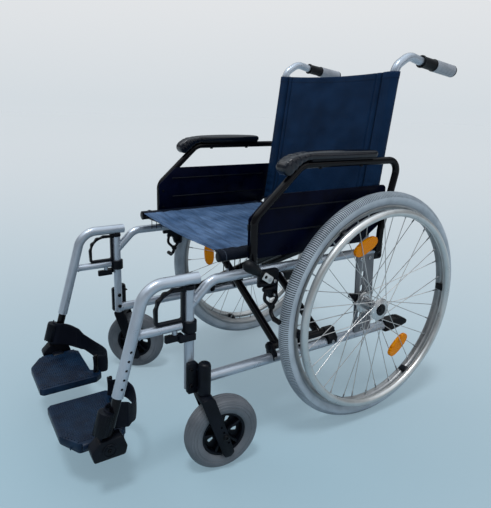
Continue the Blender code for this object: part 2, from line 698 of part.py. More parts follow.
def caster_rim():
    centre = caster_centre()
    half = CASTER_RIM_HALF
    band = CASTER_RIM_R - CASTER_RIM_WALL
    ring = turned("ring", [(half, CASTER_RIM_R), (half, band), (-half, band), (-half, CASTER_RIM_R)], centre,
                  CASTER_FACES)
    reach = Vector((CASTER_HUB_HALF, 0, 0))
    hub = rod("hub", centre - reach, centre + reach, CASTER_HUB_R)
    spokes = []
    for number in range(5):
        outline = [(-0.0065, CASTER_HUB_R - 0.0045), (0.0065, CASTER_HUB_R - 0.0045), (0.0045, band - 0.0165),
                   (0.0070, band + 0.002), (-0.0070, band + 0.002), (-0.0045, band - 0.0165)]
        spoke = slab("spoke", outline, "X", -0.006, 0.006)
        angle = 2 * math.pi * (number + 0.17) / 5
        spoke.data.transform(Matrix.Translation(centre) @ Matrix.Rotation(angle, 4, "X"))
        spokes.append(spoke)
    bore = hollow(centre - 2 * reach, centre + 2 * reach, CASTER_BOLT_R + RUNNING, 8)
    return cut(weld(ring, hub, *spokes), bore)


# Cross brace

def brace_bearing():
    """The rod that a brace arm turns on, with the lugs that hold it on the lower tube."""
    pivot_rod = rod("rod", (PIVOT_X, LUGS_Y[0][0] - 0.003, PIVOT_Z), (PIVOT_X, LUGS_Y[-1][1] + 0.003, PIVOT_Z),
                    PIVOT_ROD_R)
    hug = LOWER_TUBE_R + TOUCH
    outer = FRAME_X + hug + 0.0030
    inner = FRAME_X - hug - 0.0030
    outline = [(inner, LOWER_Z - 0.002), (outer, LOWER_Z - 0.002), (outer, LOWER_Z + 0.014),
               (PIVOT_X + 0.009, PIVOT_Z + 0.011), (PIVOT_X - 0.008, PIVOT_Z + 0.011),
               (inner - 0.004, PIVOT_Z + 0.003), (inner - 0.004, LOWER_Z + 0.012)]
    lugs = [slab("lug", outline, "Y", front, rear) for front, rear in LUGS_Y]
    tube_space = hollow((FRAME_X, LUGS_Y[0][0] - 0.02, LOWER_Z), (FRAME_X, LUGS_Y[-1][1] + 0.02, LOWER_Z), hug)
    return cut(weld(pivot_rod, *lugs), tube_space)


def brace_arm(legs_y, far_studs):
    """One arm: a sleeve at the +X pivot, two legs, and the seat rail they carry at -X."""
    pieces = []
    for y in legs_y:
        pieces.append(tube("leg", [Vector((PIVOT_X, y, PIVOT_Z)), Vector((-RAIL_X, y, RAIL_Z))], BRACE_TUBE_R))
    sleeves = [(LUGS_Y[0][1] + TOUCH, LUGS_Y[1][0] - TOUCH), (LUGS_Y[1][1] + TOUCH, LUGS_Y[2][0] - TOUCH)]
    for front, rear in sleeves:
        pieces.append(rod("sleeve", (PIVOT_X, front, PIVOT_Z), (PIVOT_X, rear, PIVOT_Z), SLEEVE_R + 0.0005))
    rail = tube("rail", [Vector((-RAIL_X, RAIL_FRONT_Y, RAIL_Z)), Vector((-RAIL_X, RAIL_REAR_Y, RAIL_Z))], RAIL_R)
    arm = weld(rail, *pieces)
    bore = hollow((PIVOT_X, LUGS_Y[0][0], PIVOT_Z), (PIVOT_X, LUGS_Y[-1][1], PIVOT_Z), PIVOT_ROD_R + RUNNING)
    arm = cut(arm, bore)
    centre_z = crossing_z()
    if far_studs:
        studs = [rod("stud", (0, leg, centre_z), (0, far + reach, centre_z), STUD_R, 8)
                 for leg, far, reach in zip(OUTER_LEGS_Y, INNER_LEGS_Y, (0.0125, -0.0125))]
        return weld(arm, *studs)
    holes = [hollow((0, y - 0.03, centre_z), (0, y + 0.03, centre_z), STUD_R + RUNNING, 8) for y in legs_y]
    return cut(arm, *holes)


def crossing_z():
    """Height of the brace's middle pivot, where both arms cross over X = 0."""
    return PIVOT_Z + (RAIL_Z - PIVOT_Z) * PIVOT_X / (PIVOT_X + RAIL_X)


# Slings

def seat_sling():
    reach = RAIL_R + TOUCH + CLOTH / 2
    wrap = arc((RAIL_X, RAIL_Z), reach, -SEAT_WRAP, math.pi / 2, 5)
    top = RAIL_Z + reach
    middle = []
    for step in range(1, STRIPS):
        across = 1 - 2 * step / STRIPS
        middle.append((RAIL_X * across, top - SEAT_SAG * (1 - across ** 2)))
    section = wrap + middle + [(-x, z) for x, z in reversed(wrap)]
    ends = (SEAT_FRONT_Y, SEAT_REAR_Y)
    return ribbon("seat", [[Vector((x, y, z)) for y in ends] for x, z in section], CLOTH)


def back_sling():
    reach = CANE_TUBE_R + 2 * TOUCH + CLOTH / 2
    wrap = arc((CANE_X, 0), reach, BACK_WRAP - math.pi / 2, -math.pi / 2, 8)
    middle = []
    for step in range(1, STRIPS):
        across = 1 - 2 * step / STRIPS
        middle.append((CANE_X * across, -reach + BACK_SAG * (1 - across ** 2)))
    section = wrap + middle + [(-x, y) for x, y in reversed(wrap)]
    ends = (BACK_LOW_Z, BACK_TOP_Z)
    return ribbon("back", [[Vector((x, y + cane_y(z), z)) for z in ends] for x, y in section], CLOTH)


# Seat saddle

def seat_saddle():
    rest_z = RAIL_Z - RAIL_R - TOUCH
    front, rear = RAIL_FRONT_Y + 0.012, ARM_FOOT_Y + CUP_HALF + 0.002
    cradle = block("cradle", (RAIL_X - CRADLE_HALF, front, UPPER_Z + 0.002),
                   (RAIL_X + CRADLE_HALF, rear, rest_z + CRADLE_LIP))
    base = block("base", (RAIL_X, front + 0.005, UPPER_Z), (FRAME_X + FRAME_TUBE_R + 0.001, rear - 0.002,
                                                          UPPER_Z + 0.016))
    cup = block("cup", (FRAME_X + 0.006, ARM_FOOT_Y - CUP_HALF, UPPER_Z + 0.001), (ARM_X + 0.0110,
                                                                       ARM_FOOT_Y + CUP_HALF, ARM_FOOT_Z + 0.007))
    saddle = weld(bevelled(cradle, 0.001), base, bevelled(cup, 0.002))
    tube_space = hollow((FRAME_X, front - 0.02, UPPER_Z), (FRAME_X, rear + 0.02, UPPER_Z), FRAME_TUBE_R + TOUCH)
    rail_space = block("channel", (RAIL_X - CHANNEL_HALF, front - 0.02, rest_z),
                       (RAIL_X + CHANNEL_HALF, rear + 0.02, RAIL_Z))
    socket = hollow((ARM_X, ARM_FOOT_Y, ARM_FOOT_Z - TOUCH), (ARM_X, ARM_FOOT_Y, ARM_FOOT_Z + 0.03),
                    ARM_TUBE_R + RUNNING)
    return cut(saddle, tube_space, rail_space, socket)


# Armrest

def arm_corners():
    return at_x(ARM_X, (ARM_FOOT_Y, ARM_FOOT_Z), (ARM_FOOT_Y, ARM_ELBOW_Z), (ARM_FRONT_BEND_Y, ARM_TOP_Z),
                (ARM_REAR_BEND_Y, ARM_TOP_Z), (ARM_KNEE_Y, ARM_KNEE_Z), (HINGE_Y, HINGE_Z - 0.011))


def armrest_frame():
    frame = tube("arm", rounded_path(arm_corners(), (0.030, 0.040, 0.028, 0.030)), ARM_TUBE_R)
    eye = rod("eye", (ARM_X - 0.0085, HINGE_Y, HINGE_Z), (ARM_X + 0.0050, HINGE_Y, HINGE_Z), 0.0110)
    bore = hollow((ARM_X - 0.03, HINGE_Y, HINGE_Z), (ARM_X + 0.03, HINGE_Y, HINGE_Z), HINGE_PIN_R + RUNNING)
    return cut(weld(frame, eye), bore)


def arm_pad():
    slope = math.atan2(ARM_TOP_Z - ARM_ELBOW_Z, ARM_FRONT_BEND_Y - ARM_FOOT_Y)
    seat = ARM_TUBE_R + 0.0005
    bend = 0.040
    reach = bend * math.tan(slope / 2)
    centre = (ARM_FRONT_BEND_Y + reach, ARM_TOP_Z - bend)
    under = arc(centre, bend + seat + 0.0010, math.pi / 2, math.pi / 2 + slope, 3)
    last_y, last_z = under[-1]
    drop = 0.036
    chin = (last_y - drop * math.cos(slope), last_z - drop * math.sin(slope))
    under_z = ARM_TOP_Z + seat
    top_z = under_z + PAD_THICK
    nose = [(chin[0] - 0.016, chin[1] + 0.002), (chin[0] - 0.026, chin[1] + 0.016),
            (chin[0] - 0.021, chin[1] + 0.034), (chin[0] + 0.004, chin[1] + 0.048)]
    outline = [(PAD_REAR_Y, under_z)] + under + [chin] + nose
    outline += [(ARM_FRONT_BEND_Y + 0.010, top_z - 0.001), (PAD_REAR_Y, top_z)]
    half = PAD_WIDTH / 2
    return bevelled(slab("pad", outline, "X", ARM_X - half, ARM_X + half), 0.0065, 2, math.radians(50))


def side_panel():
    outer = ARM_X - ARM_TUBE_R - TOUCH
    slope = (ARM_TOP_Z - ARM_ELBOW_Z) / (ARM_FRONT_BEND_Y - ARM_FOOT_Y)
    front = ARM_FOOT_Y - 0.008
    tab_y = front + (PANEL_TOP_Z - ARM_ELBOW_Z) / slope
    outline = [(front, PANEL_LOW_Z), (PANEL_TOE_Y, PANEL_LOW_Z - 0.002), (PANEL_REAR_Y - 0.019, ARM_KNEE_Z + 0.006),
               (PANEL_REAR_Y, ARM_KNEE_Z + 0.022), (PANEL_REAR_Y, PANEL_TOP_Z), (tab_y, PANEL_TOP_Z),
               (front, ARM_ELBOW_Z)]
    panel = slab("panel", outline, "X", outer - PANEL_THICK, outer)
    rails = [slab("rib", stadium((RIB_MIDDLE_Y, height), RIB_LENGTH, 0.0025), "X", outer - PANEL_THICK - 0.0012,
                  outer - 0.002) for height in RIBS_Z]
    return weld(panel, *rails)


# Wheel lock

def lock_body():
    inner = FRAME_X + FRAME_TUBE_R + TOUCH
    outer = LOCK_BODY_X
    front, rear = LOCK_Y - LOCK_EDGE, SHOE_PIVOT_Y + 0.012
    top, foot = LOCK_Z + LOCK_EDGE, SHOE_PIVOT_Z - 0.009
    outline = [(front, top), (front, LOCK_Z - 0.016), (LOCK_Y + 0.004, LOCK_Z - 0.030), (SHOE_PIVOT_Y - 0.012, foot),
               (rear - 0.001, foot), (rear, top)]
    body = bevelled(slab("body", outline, "X", inner, outer), 0.002)
    lever_pin = rod("pin", (outer - 0.005, LOCK_Y, LOCK_Z), (LEVER_X + LEVER_PLATE + 0.0025, LOCK_Y, LOCK_Z),
                    LOCK_PIN_R, 8)
    shoe_pin = rod("pin", (outer - 0.005, SHOE_PIVOT_Y, SHOE_PIVOT_Z), (outer + 0.0065, SHOE_PIVOT_Y, SHOE_PIVOT_Z),
                   LOCK_PIN_R, 8)
    collar = rod("collar", (outer - 0.005, LOCK_Y, LOCK_Z), (LEVER_X - TOUCH, LOCK_Y, LOCK_Z), 0.0085, 10)
    return weld(body, lever_pin, shoe_pin, collar)


def lock_lever():
    along = Vector((0, KNOB_Y - LOCK_Y, KNOB_Z - LOCK_Z)).normalized()
    tilt = math.atan2(along.z, along.y)
    middle = ((LOCK_Y + KNOB_Y) / 2, (LOCK_Z + KNOB_Z) / 2)
    length = math.hypot(KNOB_Y - LOCK_Y, KNOB_Z - LOCK_Z) + 0.020
    plate = slab("plate", stadium(middle, length, 0.0085, tilt), "X", LEVER_X, LEVER_X + LEVER_PLATE)
    knob_at = (KNOB_Y - along.y * 0.006, KNOB_Z - along.z * 0.006)
    knob = slab("knob", stadium(knob_at, 0.044, 0.0110, tilt), "X", LEVER_X + 0.0005, LEVER_X + 0.0190)
    knob = bevelled(knob, 0.004, 2, math.radians(60))
    bore = hollow((LEVER_X - 0.01, LOCK_Y, LOCK_Z), (LEVER_X + 0.02, LOCK_Y, LOCK_Z), LOCK_PIN_R + RUNNING, 8)
    return cut(weld(plate, knob), bore)


def lock_shoe():
    inner = LOCK_BODY_X + TOUCH
    middle = ((SHOE_PIVOT_Y + SHOE_Y) / 2, (SHOE_PIVOT_Z + SHOE_Z) / 2)
    tilt = math.atan2(SHOE_Z - SHOE_PIVOT_Z, SHOE_Y - SHOE_PIVOT_Y)
    length = math.hypot(SHOE_Z - SHOE_PIVOT_Z, SHOE_Y - SHOE_PIVOT_Y) + 0.018
    arm = slab("arm", stadium(middle, length, 0.0085, tilt), "X", inner, inner + 0.004)
    shoe = rod("shoe", (inner + 0.001, SHOE_Y, SHOE_Z), (WHEEL_X + 0.016, SHOE_Y, SHOE_Z), SHOE_R)
    bore = hollow((inner - 0.01, SHOE_PIVOT_Y, SHOE_PIVOT_Z), (inner + 0.02, SHOE_PIVOT_Y, SHOE_PIVOT_Z),
                  LOCK_PIN_R + RUNNING, 8)
    return cut(weld(arm, shoe), bore)


# Legrest

def hanger():
    end = on_hanger(HANGER_END_Z)
    corners = [Vector((FRAME_X, POST_Y + 0.022, HANGER_TOP_Z)), Vector((FRAME_X, HANGER_BEND_Y, HANGER_TOP_Z)), end]
    bar = tube("bar", rounded_path(corners, [HANGER_BEND_R], math.radians(19)), HANGER_R, 10)
    strut_rear = GUARD_FRONT_Y - TOUCH
    strut = rod("strut", (FRAME_X, hanger_y(STRUT_Z), STRUT_Z), (FRAME_X, strut_rear, STRUT_Z), STRUT_R)
    lug = rod("lug", (FRAME_X, LATCH_Y, STRUT_Z), (FRAME_X, LATCH_Y, LATCH_Z[1] + TOUCH), 0.0060, 8)
    pin = rod("pin", (FRAME_X, LATCH_Y, STRUT_Z - 0.002), (FRAME_X, LATCH_Y, LATCH_Z[0] + 0.002), LATCH_PIN_R, 8)
    along = (on_hanger(FIRST_HOLE_Z) - end).normalized()
    bore = hollow(end - along * 0.02, end + along * HANGER_BORE, FOOT_TUBE_R + RUNNING)
    holes = []
    for number in range(HOLES):
        middle = on_hanger(FIRST_HOLE_Z) - along * number * HOLE_PITCH
        holes.append(rod("hole", middle, middle + Vector((0.02, 0, 0)), HOLE_R, 6))
    return cut(weld(bar, strut, lug, pin), bore, *holes)


def finger_grip(low_z, high_z, inset):
    """The grip loop's outline, with its waves on the outside only."""
    rear = POST_Y - FRAME_TUBE_R - 0.0015 - inset
    front = LOOP_FRONT_Y + inset
    low, high = low_z + inset, high_z - inset
    points = [(rear, low), (rear, high)]
    corner = (LOOP_FRONT_Y + LOOP_CORNER, high_z - LOOP_CORNER + 0.0015)
    for step in range(13):
        turn = math.pi / 2 * step / 12
        wave = 0.0012 * math.cos(12 * turn) if inset == 0 else 0
        points.append((corner[0] + (front - corner[0] - wave) * math.sin(turn),
                       corner[1] + (high - corner[1] + wave) * math.cos(turn)))
    points.append((front, low))
    return points


def hanger_guard():
    low, high = STRUT_Z + STRUT_R + TOUCH, LOOP_TOP_Z
    inner, outer = FRAME_X - 0.006, FRAME_X + 0.006
    loop = slab("loop", finger_grip(low, high, 0), "X", inner, outer)
    loop = cut(loop, slab("gap", finger_grip(low, high, LOOP_WIRE), "X", inner - 0.01, outer + 0.01))
    collar = rod("collar", (FRAME_X, POST_Y, COLLAR_Z[0]), (FRAME_X, POST_Y, COLLAR_Z[1]), COLLAR_R, 12)
    leg = block("leg", (inner, GUARD_FRONT_Y, COLLAR_Z[0] + 0.006), (outer, POST_Y - 0.0125, low + 0.004))
    cap_low, cap_high = POST_TOP_Z + TOUCH, HANGER_TOP_Z - HANGER_R - TOUCH
    cap = rod("cap", (FRAME_X, POST_Y, cap_low), (FRAME_X, POST_Y, cap_high), FRAME_TUBE_R + 0.0015, 12)
    peg = rod("peg", (FRAME_X, POST_Y, POST_TOP_Z - PEG_LENGTH), (FRAME_X, POST_Y, cap_high - 0.002), PEG_R, 8)
    bridge = block("bridge", (inner, GUARD_FRONT_Y, high - 0.008), (outer, POST_Y - 0.005, cap_high - 0.0005))
    post_space = hollow((FRAME_X, POST_Y, COLLAR_Z[0] - 0.02), (FRAME_X, POST_Y, cap_low), FRAME_TUBE_R + RUNNING)
    guard = cut(weld(loop, collar, leg, bridge), post_space)
    return weld(guard, cap, peg)


def hanger_latch():
    low, high = LATCH_Z
    inner, outer = FRAME_X - 0.006, FRAME_X + 0.006
    front, rear = LATCH_Y - LATCH_NOSE, LATCH_Y + LATCH_HOOK
    hook = (FRAME_X + 0.0119, FRAME_X + 0.0175)
    outline = [(inner, front), (outer, front), (outer, LATCH_Y + 0.004), (hook[1], LATCH_Y + 0.004), (hook[1], rear),
               (hook[0], rear), (hook[0], LATCH_Y + 0.0175), (inner, LATCH_Y + 0.0175)]
    latch = slab("latch", outline, "Z", low, high)
    bore = hollow((FRAME_X, LATCH_Y, low - 0.01), (FRAME_X, LATCH_Y, high + 0.01), LATCH_PIN_R + RUNNING, 8)
    return cut(latch, bore)


def footrest_tube():
    end = on_hanger(HANGER_END_Z)
    along = (on_hanger(FIRST_HOLE_Z) - end).normalized()
    foot = on_hanger(FLIP_Z + 0.012)
    bar = rod("bar", foot, end + along * FOOT_TUBE_INSIDE, FOOT_TUBE_R)
    inner, outer = FRAME_X - FOOT_BLOCK_HALF, FRAME_X + FOOT_BLOCK_HALF
    outline = [(FLIP_Y + along_y, FLIP_Z + up) for along_y, up in (
        (-0.032, -0.016), (0.034, -0.016), (0.038, 0.002), (0.030, 0.028), (-0.018, 0.028), (-0.037, 0.008))]
    foot_block = bevelled(slab("block", outline, "X", inner, outer), 0.0025)
    boss = rod("boss", (outer - 0.001, FLIP_Y, FLIP_Z + 0.005), (outer + 0.0025, FLIP_Y, FLIP_Z + 0.005), 0.0150, 12)
    front, rear = FLIP_Y - KNUCKLE_LENGTH / 2, FLIP_Y + KNUCKLE_LENGTH / 2
    tongue = block("tongue", (FLIP_X, front, FLIP_Z - 0.0078), (inner + 0.003, rear, FLIP_Z + 0.0078))
    knuckle = rod("knuckle", (FLIP_X, front, FLIP_Z), (FLIP_X, rear, FLIP_Z), 0.0080)
    reach = KNUCKLES_REACH - 0.0015
    pin = rod("pin", (FLIP_X, FLIP_Y - reach, FLIP_Z), (FLIP_X, FLIP_Y + reach, FLIP_Z), FLIP_PIN_R, 8)
    return weld(foot_block, bar, boss, tongue, knuckle, pin)


def footplate():
    tab_y = STRAP_POST_Y + 0.0105
    outline = [(PLATE_INNER_X, PLATE_FRONT_Y + 0.008), (PLATE_INNER_X + 0.008, PLATE_FRONT_Y),
               (FLIP_X - PLATE_NOSE_X, PLATE_FRONT_Y), (FLIP_X, PLATE_FRONT_Y + PLATE_NOSE_Y),
               (FLIP_X, PLATE_REAR_Y - 0.010), (FLIP_X - 0.010, PLATE_REAR_Y),
               (STRAP_POST_X + 0.017, PLATE_REAR_Y), (STRAP_POST_X + 0.009, tab_y), (STRAP_POST_X - 0.009, tab_y),
               (PLATE_INNER_X, PLATE_REAR_Y + 0.005)]
    plate = bevelled(slab("plate", outline, "Z", PLATE_LOW_Z, PLATE_TOP_Z), 0.003, 1, math.radians(60))
    half = KNUCKLE_LENGTH / 2
    notch = block("notch", (FLIP_X - 0.009, FLIP_Y - half - 0.001, PLATE_LOW_Z - 0.05),
                  (FLIP_X + 0.05, FLIP_Y + half + 0.001, PLATE_TOP_Z + 0.05))
    knuckles = [rod("knuckle", (FLIP_X, FLIP_Y + sign * KNUCKLES_REACH, FLIP_Z),
                    (FLIP_X, FLIP_Y + sign * (half + 4 * RUNNING), FLIP_Z), 0.0086) for sign in (-1, 1)]
    bore = hollow((FLIP_X, FLIP_Y - 0.10, FLIP_Z), (FLIP_X, FLIP_Y + 0.10, FLIP_Z), FLIP_PIN_R + RUNNING, 8)
    post = rod("post", (STRAP_POST_X, STRAP_POST_Y, PLATE_LOW_Z + 0.004),
               (STRAP_POST_X, STRAP_POST_Y, STRAP_POST_TOP_Z), STRAP_POST_R, 8)
    return weld(cut(weld(cut(plate, notch), *knuckles), bore), post)


def heel_strap():
    """The fabric strap from the footrest tube round behind the heel to the footplate's post."""
    tube_at = on_hanger(STRAP_Z)
    reach = FOOT_TUBE_R + STRAP_SLACK + STRAP_THICK / 2
    start = arc((tube_at.x, tube_at.y), reach, math.radians(-100), math.radians(125), 8)
    span = FRAME_X - STRAP_POST_X
    depth = STRAP_REAR_Y - STRAP_POST_Y
    bow = [(STRAP_POST_X + across * span, STRAP_REAR_Y - back * depth) for across, back in (
        (0.827, 1.117), (0.657, 0.523), (0.459, 0.108), (0.232, 0.0), (0.051, 0.252))]
    end = arc((STRAP_POST_X, STRAP_POST_Y), STRAP_POST_R + STRAP_SLACK + STRAP_THICK / 2, math.radians(10),
              math.radians(-150), 4)
    path = start + bow + end
    droop = len(start)
    columns = []
    for number, (x, y) in enumerate(path):
        share = min(1, max(0, (number - droop + 1) / len(bow)))
        middle = STRAP_Z - STRAP_DROOP * share
        lean = 0.0 if number >= droop else math.tan(HANGER_SLOPE)
        half = STRAP_HEIGHT / 2 - STRAP_TAPER * share
        rows = [middle - half, middle + half]
        columns.append([Vector((x, y + lean * (z - STRAP_Z), z)) for z in rows])
    return ribbon("strap", columns, STRAP_THICK)


# Assembly

def paint(piece, finish):
    colour, roughness, metallic = FINISHES[finish]
    material = bpy.data.materials.new(piece.name)
    material.use_nodes = True
    shader = material.node_tree.nodes["Principled BSDF"]
    shader.inputs["Base Color"].default_value = (*colour, 1)
    shader.inputs["Roughness"].default_value = roughness
    shader.inputs["Metallic"].default_value = metallic
    piece.data.materials.clear()
    piece.data.materials.append(material)


def finish_piece(piece, name, finish, parent):
    piece.name = name
    piece.data.name = name
    piece.parent = parent
    piece.data.shade_smooth()
    piece.data.set_sharp_from_angle(angle=math.radians(35))
    paint(piece, finish)
    return piece


def add_pair(piece, name, finish, pivot, parents, centre=Vector((0, 0, 0))):
    """Set the left piece's origin on its pivot, and add its mirror image on the right.

    The pivot is given in the chair's own space, and the parents' place on the left is the centre.
    """
    pivot = Vector(pivot)
    piece.data.transform(Matrix.Translation(-pivot))
    twin_mesh = piece.data.copy()
    twin_mesh.transform(Matrix.Diagonal((-1, 1, 1, 1)))
    twin_mesh.flip_normals()
    twin = bpy.data.objects.new(name, twin_mesh)
    bpy.context.scene.collection.objects.link(twin)
    offset = pivot - centre
    piece.location = offset
    twin.location = Vector((-offset.x, offset.y, offset.z))
    finish_piece(piece, "left_" + name, finish, parents["left"])
    finish_piece(twin, "right_" + name, finish, parents["right"])


def empties(name, place, parent, turns=None):
    """A pair of empties, mirrored, that carry the pieces which turn together."""
    pair = {}
    for side, sign in (("left", 1), ("right", -1)):
        empty = bpy.data.objects.new(side + "_" + name, None)
        bpy.context.scene.collection.objects.link(empty)
        empty.parent = parent
        empty.location = (sign * place[0], place[1], place[2])
        if turns:
            empty.rotation_euler = turns[side]
        pair[side] = empty
    return pair


def build():
    for leftover in list(bpy.data.objects):
        bpy.data.objects.remove(leftover)
    chair = bpy.data.objects.new("wheelchair", None)
    bpy.context.scene.collection.objects.link(chair)
    chair.location = (0, -(PLATE_FRONT_Y + WHEEL_R) / 2, 0)
    root = {"left": chair, "right": chair}
    post = Vector((FRAME_X, POST_Y, 0))
    origin = Vector((0, 0, 0))

    add_pair(side_frame(), "side_frame", "silver", origin, root)
    add_pair(brace_bearing(), "brace_bearing", "black_steel", origin, root)
    add_pair(cane_clamp(), "cane_clamp", "black_plastic", origin, root)
    add_pair(seat_saddle(), "seat_saddle", "black_plastic", origin, root)
    add_pair(push_grip(), "push_grip", "grip_grey", origin, root)
    add_pair(tip_lever(), "tip_lever", "black_plastic", origin, root)
    add_pair(caster_housing(), "caster_housing", "black_plastic", origin, root)

    stem = Vector((STEM_X, STEM_Y, 0))
    turns = {side: (0, 0, -yaw) for side, yaw in CASTER_YAW.items()}
    swivels = empties("caster_swivel", stem, chair, turns)
    add_pair(caster_fork(), "caster_fork", "black_plastic", stem, swivels, stem)
    add_pair(caster_rim(), "caster_rim", "black_plastic", caster_centre(), swivels, stem)
    add_pair(caster_tyre(), "caster_tyre", "caster_grey", caster_centre(), swivels, stem)

    axle = wheel_centre()
    phase = 2 * math.pi * RIGHT_WHEEL_STEPS / WHEEL_FACES
    wheels = empties("wheel_axle", axle, chair, {"left": (0, 0, 0), "right": (phase, 0, 0)})
    add_pair(rear_tyre(), "rear_tyre", "tyre_grey", axle, wheels, axle)
    add_pair(rear_rim(), "rear_rim", "aluminium", axle, wheels, axle)
    add_pair(rear_hub(), "rear_hub", "aluminium", axle, wheels, axle)
    add_pair(handrim(), "handrim", "aluminium", axle, wheels, axle)
    add_pair(reflector(UPPER_REFLECTOR_ANGLE, REFLECTOR_TILT), "reflector_upper", "amber", axle, wheels, axle)
    add_pair(reflector(LOWER_REFLECTOR_ANGLE, 0), "reflector_lower", "amber", axle, wheels, axle)

    hinge = Vector((ARM_X, HINGE_Y, HINGE_Z))
    add_pair(armrest_frame(), "armrest_frame", "black_steel", hinge, root)
    add_pair(arm_pad(), "arm_pad", "leatherette", hinge, root)
    add_pair(side_panel(), "side_panel", "black_plastic", hinge, root)

    add_pair(lock_body(), "lock_body", "black_plastic", origin, root)
    add_pair(lock_lever(), "lock_lever", "black_plastic", (LEVER_X, LOCK_Y, LOCK_Z), root)
    add_pair(lock_shoe(), "lock_shoe", "black_steel", (WHEEL_X, SHOE_PIVOT_Y, SHOE_PIVOT_Z), root)

    add_pair(hanger(), "hanger", "silver", post, root)
    add_pair(hanger_guard(), "hanger_guard", "black_plastic", post, root)
    add_pair(hanger_latch(), "hanger_latch", "black_plastic", (FRAME_X, LATCH_Y, LATCH_Z[0]), root)
    add_pair(footrest_tube(), "footrest_tube", "black_steel", on_hanger(HANGER_END_Z), root)
    add_pair(heel_strap(), "heel_strap", "navy_cloth", on_hanger(HANGER_END_Z), root)
    add_pair(footplate(), "footplate", "black_plastic", (FLIP_X, FLIP_Y, FLIP_Z), root)

    arm_a = brace_arm(OUTER_LEGS_Y, True)
    arm_a.data.transform(Matrix.Translation((-PIVOT_X, 0, -PIVOT_Z)))
    arm_a.location = (PIVOT_X, 0, PIVOT_Z)
    finish_piece(arm_a, "brace_a", "black_steel", chair)
    arm_b = brace_arm(INNER_LEGS_Y, False)
    arm_b.data.transform(Matrix.Translation((0, 0, -crossing_z())))
    arm_b.data.transform(Matrix.Diagonal((-1, 1, 1, 1)))
    arm_b.data.flip_normals()
    arm_b.location = (0, 0, crossing_z())
    finish_piece(arm_b, "brace_b", "black_steel", chair)
    finish_piece(seat_sling(), "seat_sling", "navy_cloth", chair)
    finish_piece(back_sling(), "back_sling", "navy_cloth", chair)


build()
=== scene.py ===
# %% [markdown]
# # A lightweight folding wheelchair
#
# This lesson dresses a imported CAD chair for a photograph. The CAD parts are the fixed frame: they say where
# every piece is and what it moves with. Each piece is modelled again here with rounded edges, fasteners,
# tread and cloth, put where its CAD part is, and tied to the part's body. All sizes are in metres.

# %% Load the chair
import math

import bmesh
import bpy
from mathutils import Matrix, Vector, noise


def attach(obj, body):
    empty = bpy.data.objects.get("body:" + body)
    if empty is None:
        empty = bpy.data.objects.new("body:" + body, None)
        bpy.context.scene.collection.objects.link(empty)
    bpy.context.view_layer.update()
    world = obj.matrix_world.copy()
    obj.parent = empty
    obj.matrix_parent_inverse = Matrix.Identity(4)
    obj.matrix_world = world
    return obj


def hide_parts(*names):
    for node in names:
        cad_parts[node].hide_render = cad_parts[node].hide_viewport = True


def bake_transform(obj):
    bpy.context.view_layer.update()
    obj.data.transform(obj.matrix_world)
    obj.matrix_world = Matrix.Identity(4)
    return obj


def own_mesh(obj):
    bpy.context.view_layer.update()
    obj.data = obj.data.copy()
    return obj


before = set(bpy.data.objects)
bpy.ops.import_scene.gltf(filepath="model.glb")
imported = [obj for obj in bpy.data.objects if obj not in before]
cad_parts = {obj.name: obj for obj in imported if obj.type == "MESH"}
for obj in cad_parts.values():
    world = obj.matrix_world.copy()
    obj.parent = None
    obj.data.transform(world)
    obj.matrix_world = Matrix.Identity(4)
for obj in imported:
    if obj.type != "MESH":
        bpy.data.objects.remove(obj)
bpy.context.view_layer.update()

# %% [markdown]
# ## The camera
#
# The camera stands where the photographer stood, a little above the armrests and in front of the chair's
# left side. Its place was worked out from the two big wheels, which are 608 mm across.

# %% Place the camera
CAMERA_AT, FOCAL_LENGTH, SHIFT = (1.116, -0.713, 0.809), 36.31, (0.0189, -0.0495)
azimuth, elevation, roll = math.radians(57.93), math.radians(14.32), math.radians(1.58)
back = Vector((math.sin(azimuth) * math.cos(elevation), -math.cos(azimuth) * math.cos(elevation),
               math.sin(elevation)))
right = Vector((math.cos(azimuth), math.sin(azimuth), 0))
up = back.cross(right)
across = right * math.cos(roll) + up * math.sin(roll)
upward = up * math.cos(roll) - right * math.sin(roll)
camera_data = bpy.data.cameras.new("camera")
camera_data.sensor_fit = "HORIZONTAL"
camera_data.sensor_width = 36
camera_data.lens = FOCAL_LENGTH
camera_data.shift_x, camera_data.shift_y = SHIFT
camera = bpy.data.objects.new("camera", camera_data)
camera.matrix_world = Matrix.Translation(CAMERA_AT) @ Matrix((across, upward, back)).transposed().to_4x4()
bpy.context.scene.collection.objects.link(camera)
bpy.context.scene.camera = camera
print("camera at", [round(x, 3) for x in CAMERA_AT])

# %% [markdown]
# ## Light, floor and background
#
# The photograph is lit softly from overhead. One wide sun high above gives the light on the seat and the
# tyre tops, two weak and very wide ones keep both sides from going black, and a pale world fills the rest.
# What shines mirrors a grey room that is bright only overhead, which puts a line of light along the top of
# each tube. The backdrop goes from blue-grey near the chair to nearly white high up. A sun lights the whole
# floor evenly, so the far floor has one known colour. The world begins with that colour at the horizon, so
# that no line shows there, and gets lighter with height.

# %% Set the levels of light
SKY, SKY_TINT = 0.54, (0.94, 0.975, 1.0)
SUNS = {"key_sun": ((0.7, -0.8, 3.7), 13, 1.3), "side_sun": ((3.0, 1.6, 1.6), 40, 0.3),
        "far_sun": ((-2.6, -1.4, 2.6), 40, 0.3)}
FLOOR_COLOUR, NEAR_FLOOR = (0.652, 0.69, 0.72), (0.348, 0.495, 0.583)
HIGH_WALL, HIGH = (0.76, 0.779, 0.8), 0.18
MIRRORED, PATCH = (0.36, 2.2), (0.42, 0.94)
from_suns = sum(power * Vector(place).normalized().z for place, width, power in SUNS.values()) / math.pi
FAR_FLOOR = [colour * (SKY * tint + from_suns) for colour, tint in zip(FLOOR_COLOUR, SKY_TINT)]
print("the far floor is", [round(x, 3) for x in FAR_FLOOR])


